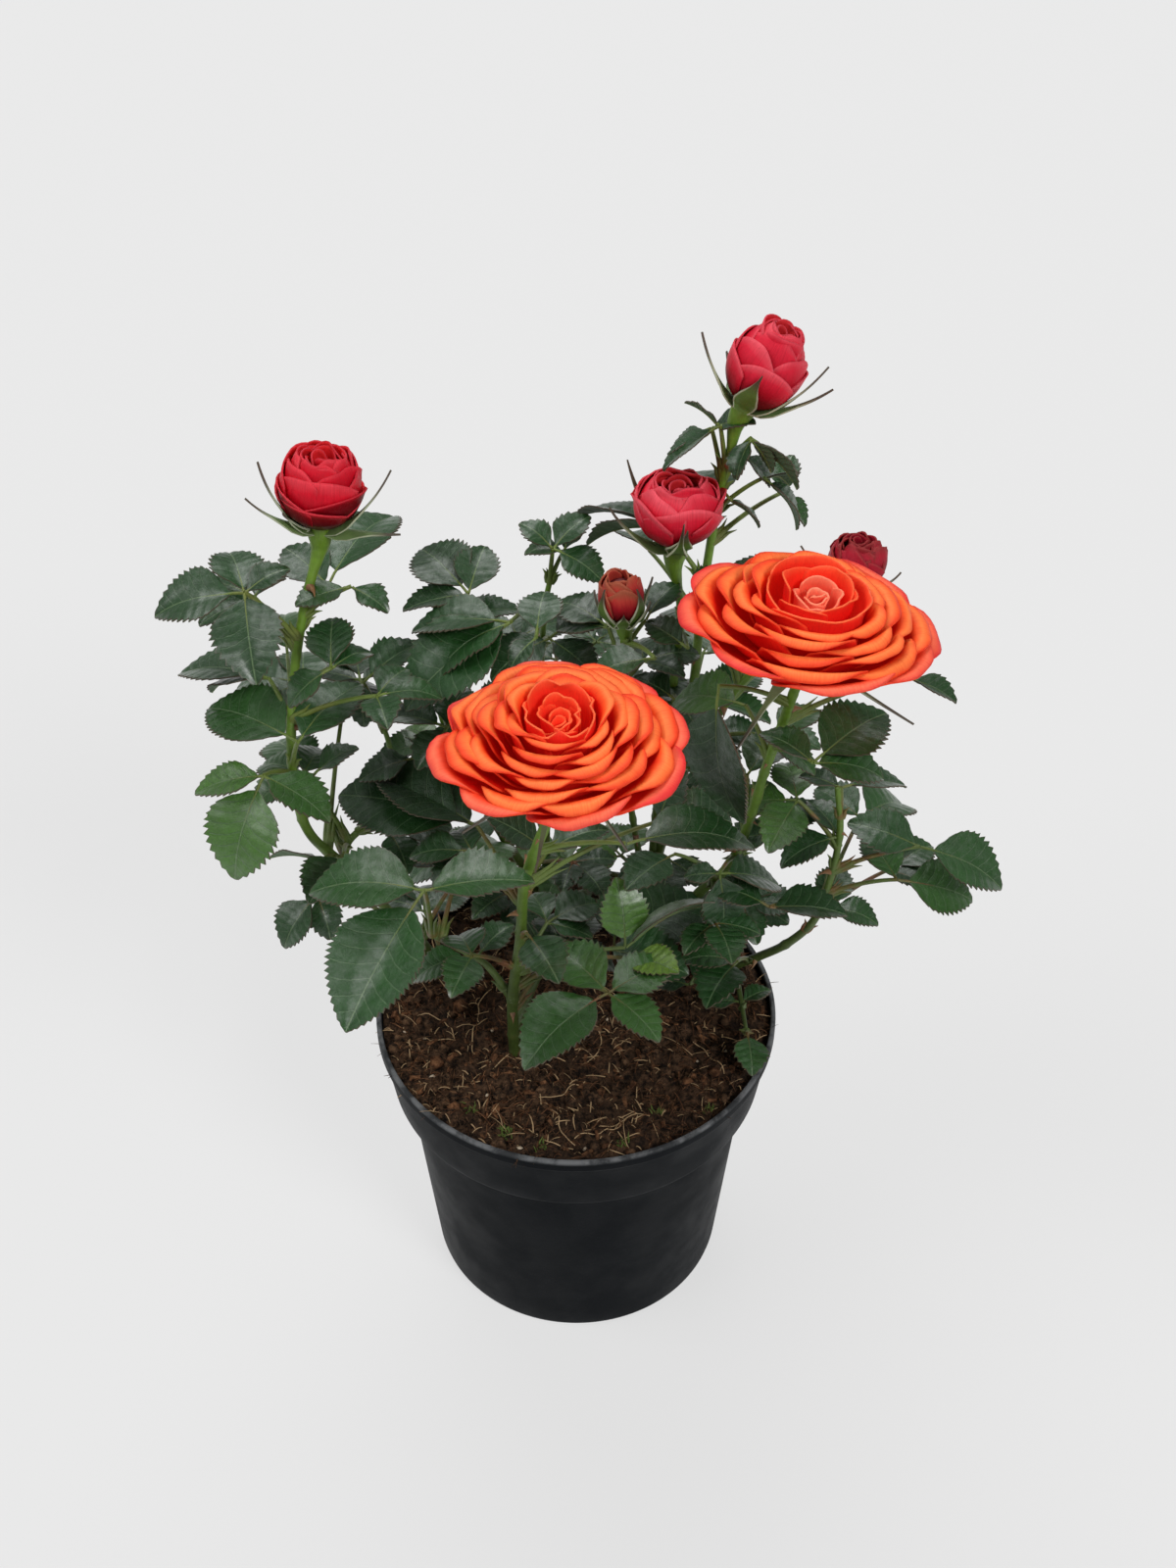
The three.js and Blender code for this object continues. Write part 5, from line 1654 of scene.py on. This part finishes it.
swirl = [
    tier("fourth", 3, 0.4, stand=0.1, inner=0.52, top=1.0),
    tier("fourth", 3, 1.4, stand=0.1, inner=0.34, top=1.01),
    tier("fourth", 2, 2.2, stand=0.1, inner=0.17, top=1.0),
]
bud(
    "bud_left",
    [tier("outer", 3, -1.75, top=0.5, flare=0.8, finish=(BUD_INSIDE, BUD_LOWER_SHADED, BUD_EDGE)),
     tier("outer", 3, -0.75, top=0.64, stand=0.94, flare=0.9, finish=(BUD_INSIDE, BUD_LOWER_SHADED, BUD_EDGE)),
     tier("second", 3, -1.6, top=0.9, flare=0.8), tier("third", 4, -2.4, flare=0.9, ruffle=0.5),
     tier("fourth", 4, -1.7, ruffle=0.6), tier("fourth", 3, -0.9, stand=0.58, ruffle=0.6), *swirl],
    scarlet, "red_petal", 31,
)
bud(
    "bud_top",
    [tier("outer", 4, -1.6), tier("second", 4, -0.8), tier("third", 3, -1.9), tier("fourth", 3, -1.1), *swirl],
    crimson, "red_petal", 37,
)
bud(
    "bud_middle",
    [tier("outer", 3, -2.5, top=0.84, flare=2.2, spread=0.94, ruffle=0.5),
     tier("outer", 3, -1.5, top=0.9, flare=1.4, stand=0.93, spread=1.0, ruffle=0.6),
     tier("second", 4, -0.9, top=1.0, flare=0.8, ruffle=0.7),
     tier("third", 3, -1.9, top=1.05, ruffle=0.8), tier("fourth", 3, -1.2, top=1.08, ruffle=0.7),
     *swirl],
    crimson, "red_petal", 41,
)
bud(
    "bud_small",
    [tier("outer", 4, -1.4, top=0.84, ruffle=0.5), tier("second", 3, -0.5, top=0.95, ruffle=0.5),
     tier("third", 3, -1.9, ruffle=0.5), tier("fourth", 3, 0.4, stand=0.1, inner=0.4, top=0.98)],
    browned, "red_petal", 43,
)
bud(
    "bud_dry",
    [tier("outer", 4, -1.5, top=0.75, ruffle=0.8), tier("second", 4, -0.7, top=0.9, ruffle=0.9),
     tier("third", 4, -1.9, ruffle=0.8), *swirl],
    withered, "dry_petal", 47,
)

pot(pot_finish())
soil(peat_finish("peat", (17, 12, 9), (98, 73, 54)))
litter(
    [
        peat_finish("peat crumb", (17, 12, 9), (122, 92, 68)),
        peat_finish("bark chip", (70, 42, 26), (150, 106, 74)),
        plain_finish("pale fleck", (176, 160, 138), 0.85, 700.0, 0.4),
        plain_finish("root thread", (176, 146, 108), 0.8, 500.0, 0.5),
    ]
)
moss(plain_finish("moss", (86, 104, 40), 0.75, 600.0, 0.5))


# Floor, light and camera


def studio():
    floor_shape = bmesh.new()
    bmesh.ops.create_grid(floor_shape, x_segments=1, y_segments=1, size=4.0)
    material, tree, shader = new_finish("studio floor", 0.85, Specular_IOR_Level=0.1)
    white = (1, 1, 1, 1)
    feed(tree, shader, {
        "Base Color": (FLOOR_GREY, FLOOR_GREY, FLOOR_GREY, 1), "Emission Color": white,
        "Emission Strength": FLOOR_GLOW,
    })
    floor = in_scene("floor", as_data("floor", floor_shape))
    floor.data.materials.append(material)

    scene = bpy.context.scene
    scene.world = bpy.data.worlds.new("studio")
    scene.world.use_nodes = True
    sky = scene.world.node_tree
    feed(sky, sky.nodes["Background"], {"Color": white, "Strength": SKY_STRENGTH})
    for name, (towards, strength, spread) in LIGHTS.items():
        lamp = bpy.data.lights.new(name, "SUN")
        lamp.energy, lamp.angle = strength, math.radians(spread)
        in_scene(name, lamp).rotation_euler = Vector(towards).to_track_quat("Z", "Y").to_euler()

    lens = bpy.data.cameras.new("camera")
    lens.lens, lens.sensor_fit, lens.sensor_height = FOCAL_LENGTH, "VERTICAL", FILM_HEIGHT
    scene.camera = in_scene("camera", lens)
    scene.camera.location = CAMERA_PLACE
    scene.camera.rotation_euler = (math.radians(90 - LOOK_DOWN), 0, 0)
    scene.view_settings.view_transform = "Standard"
    scene.view_settings.look = "None"


studio()
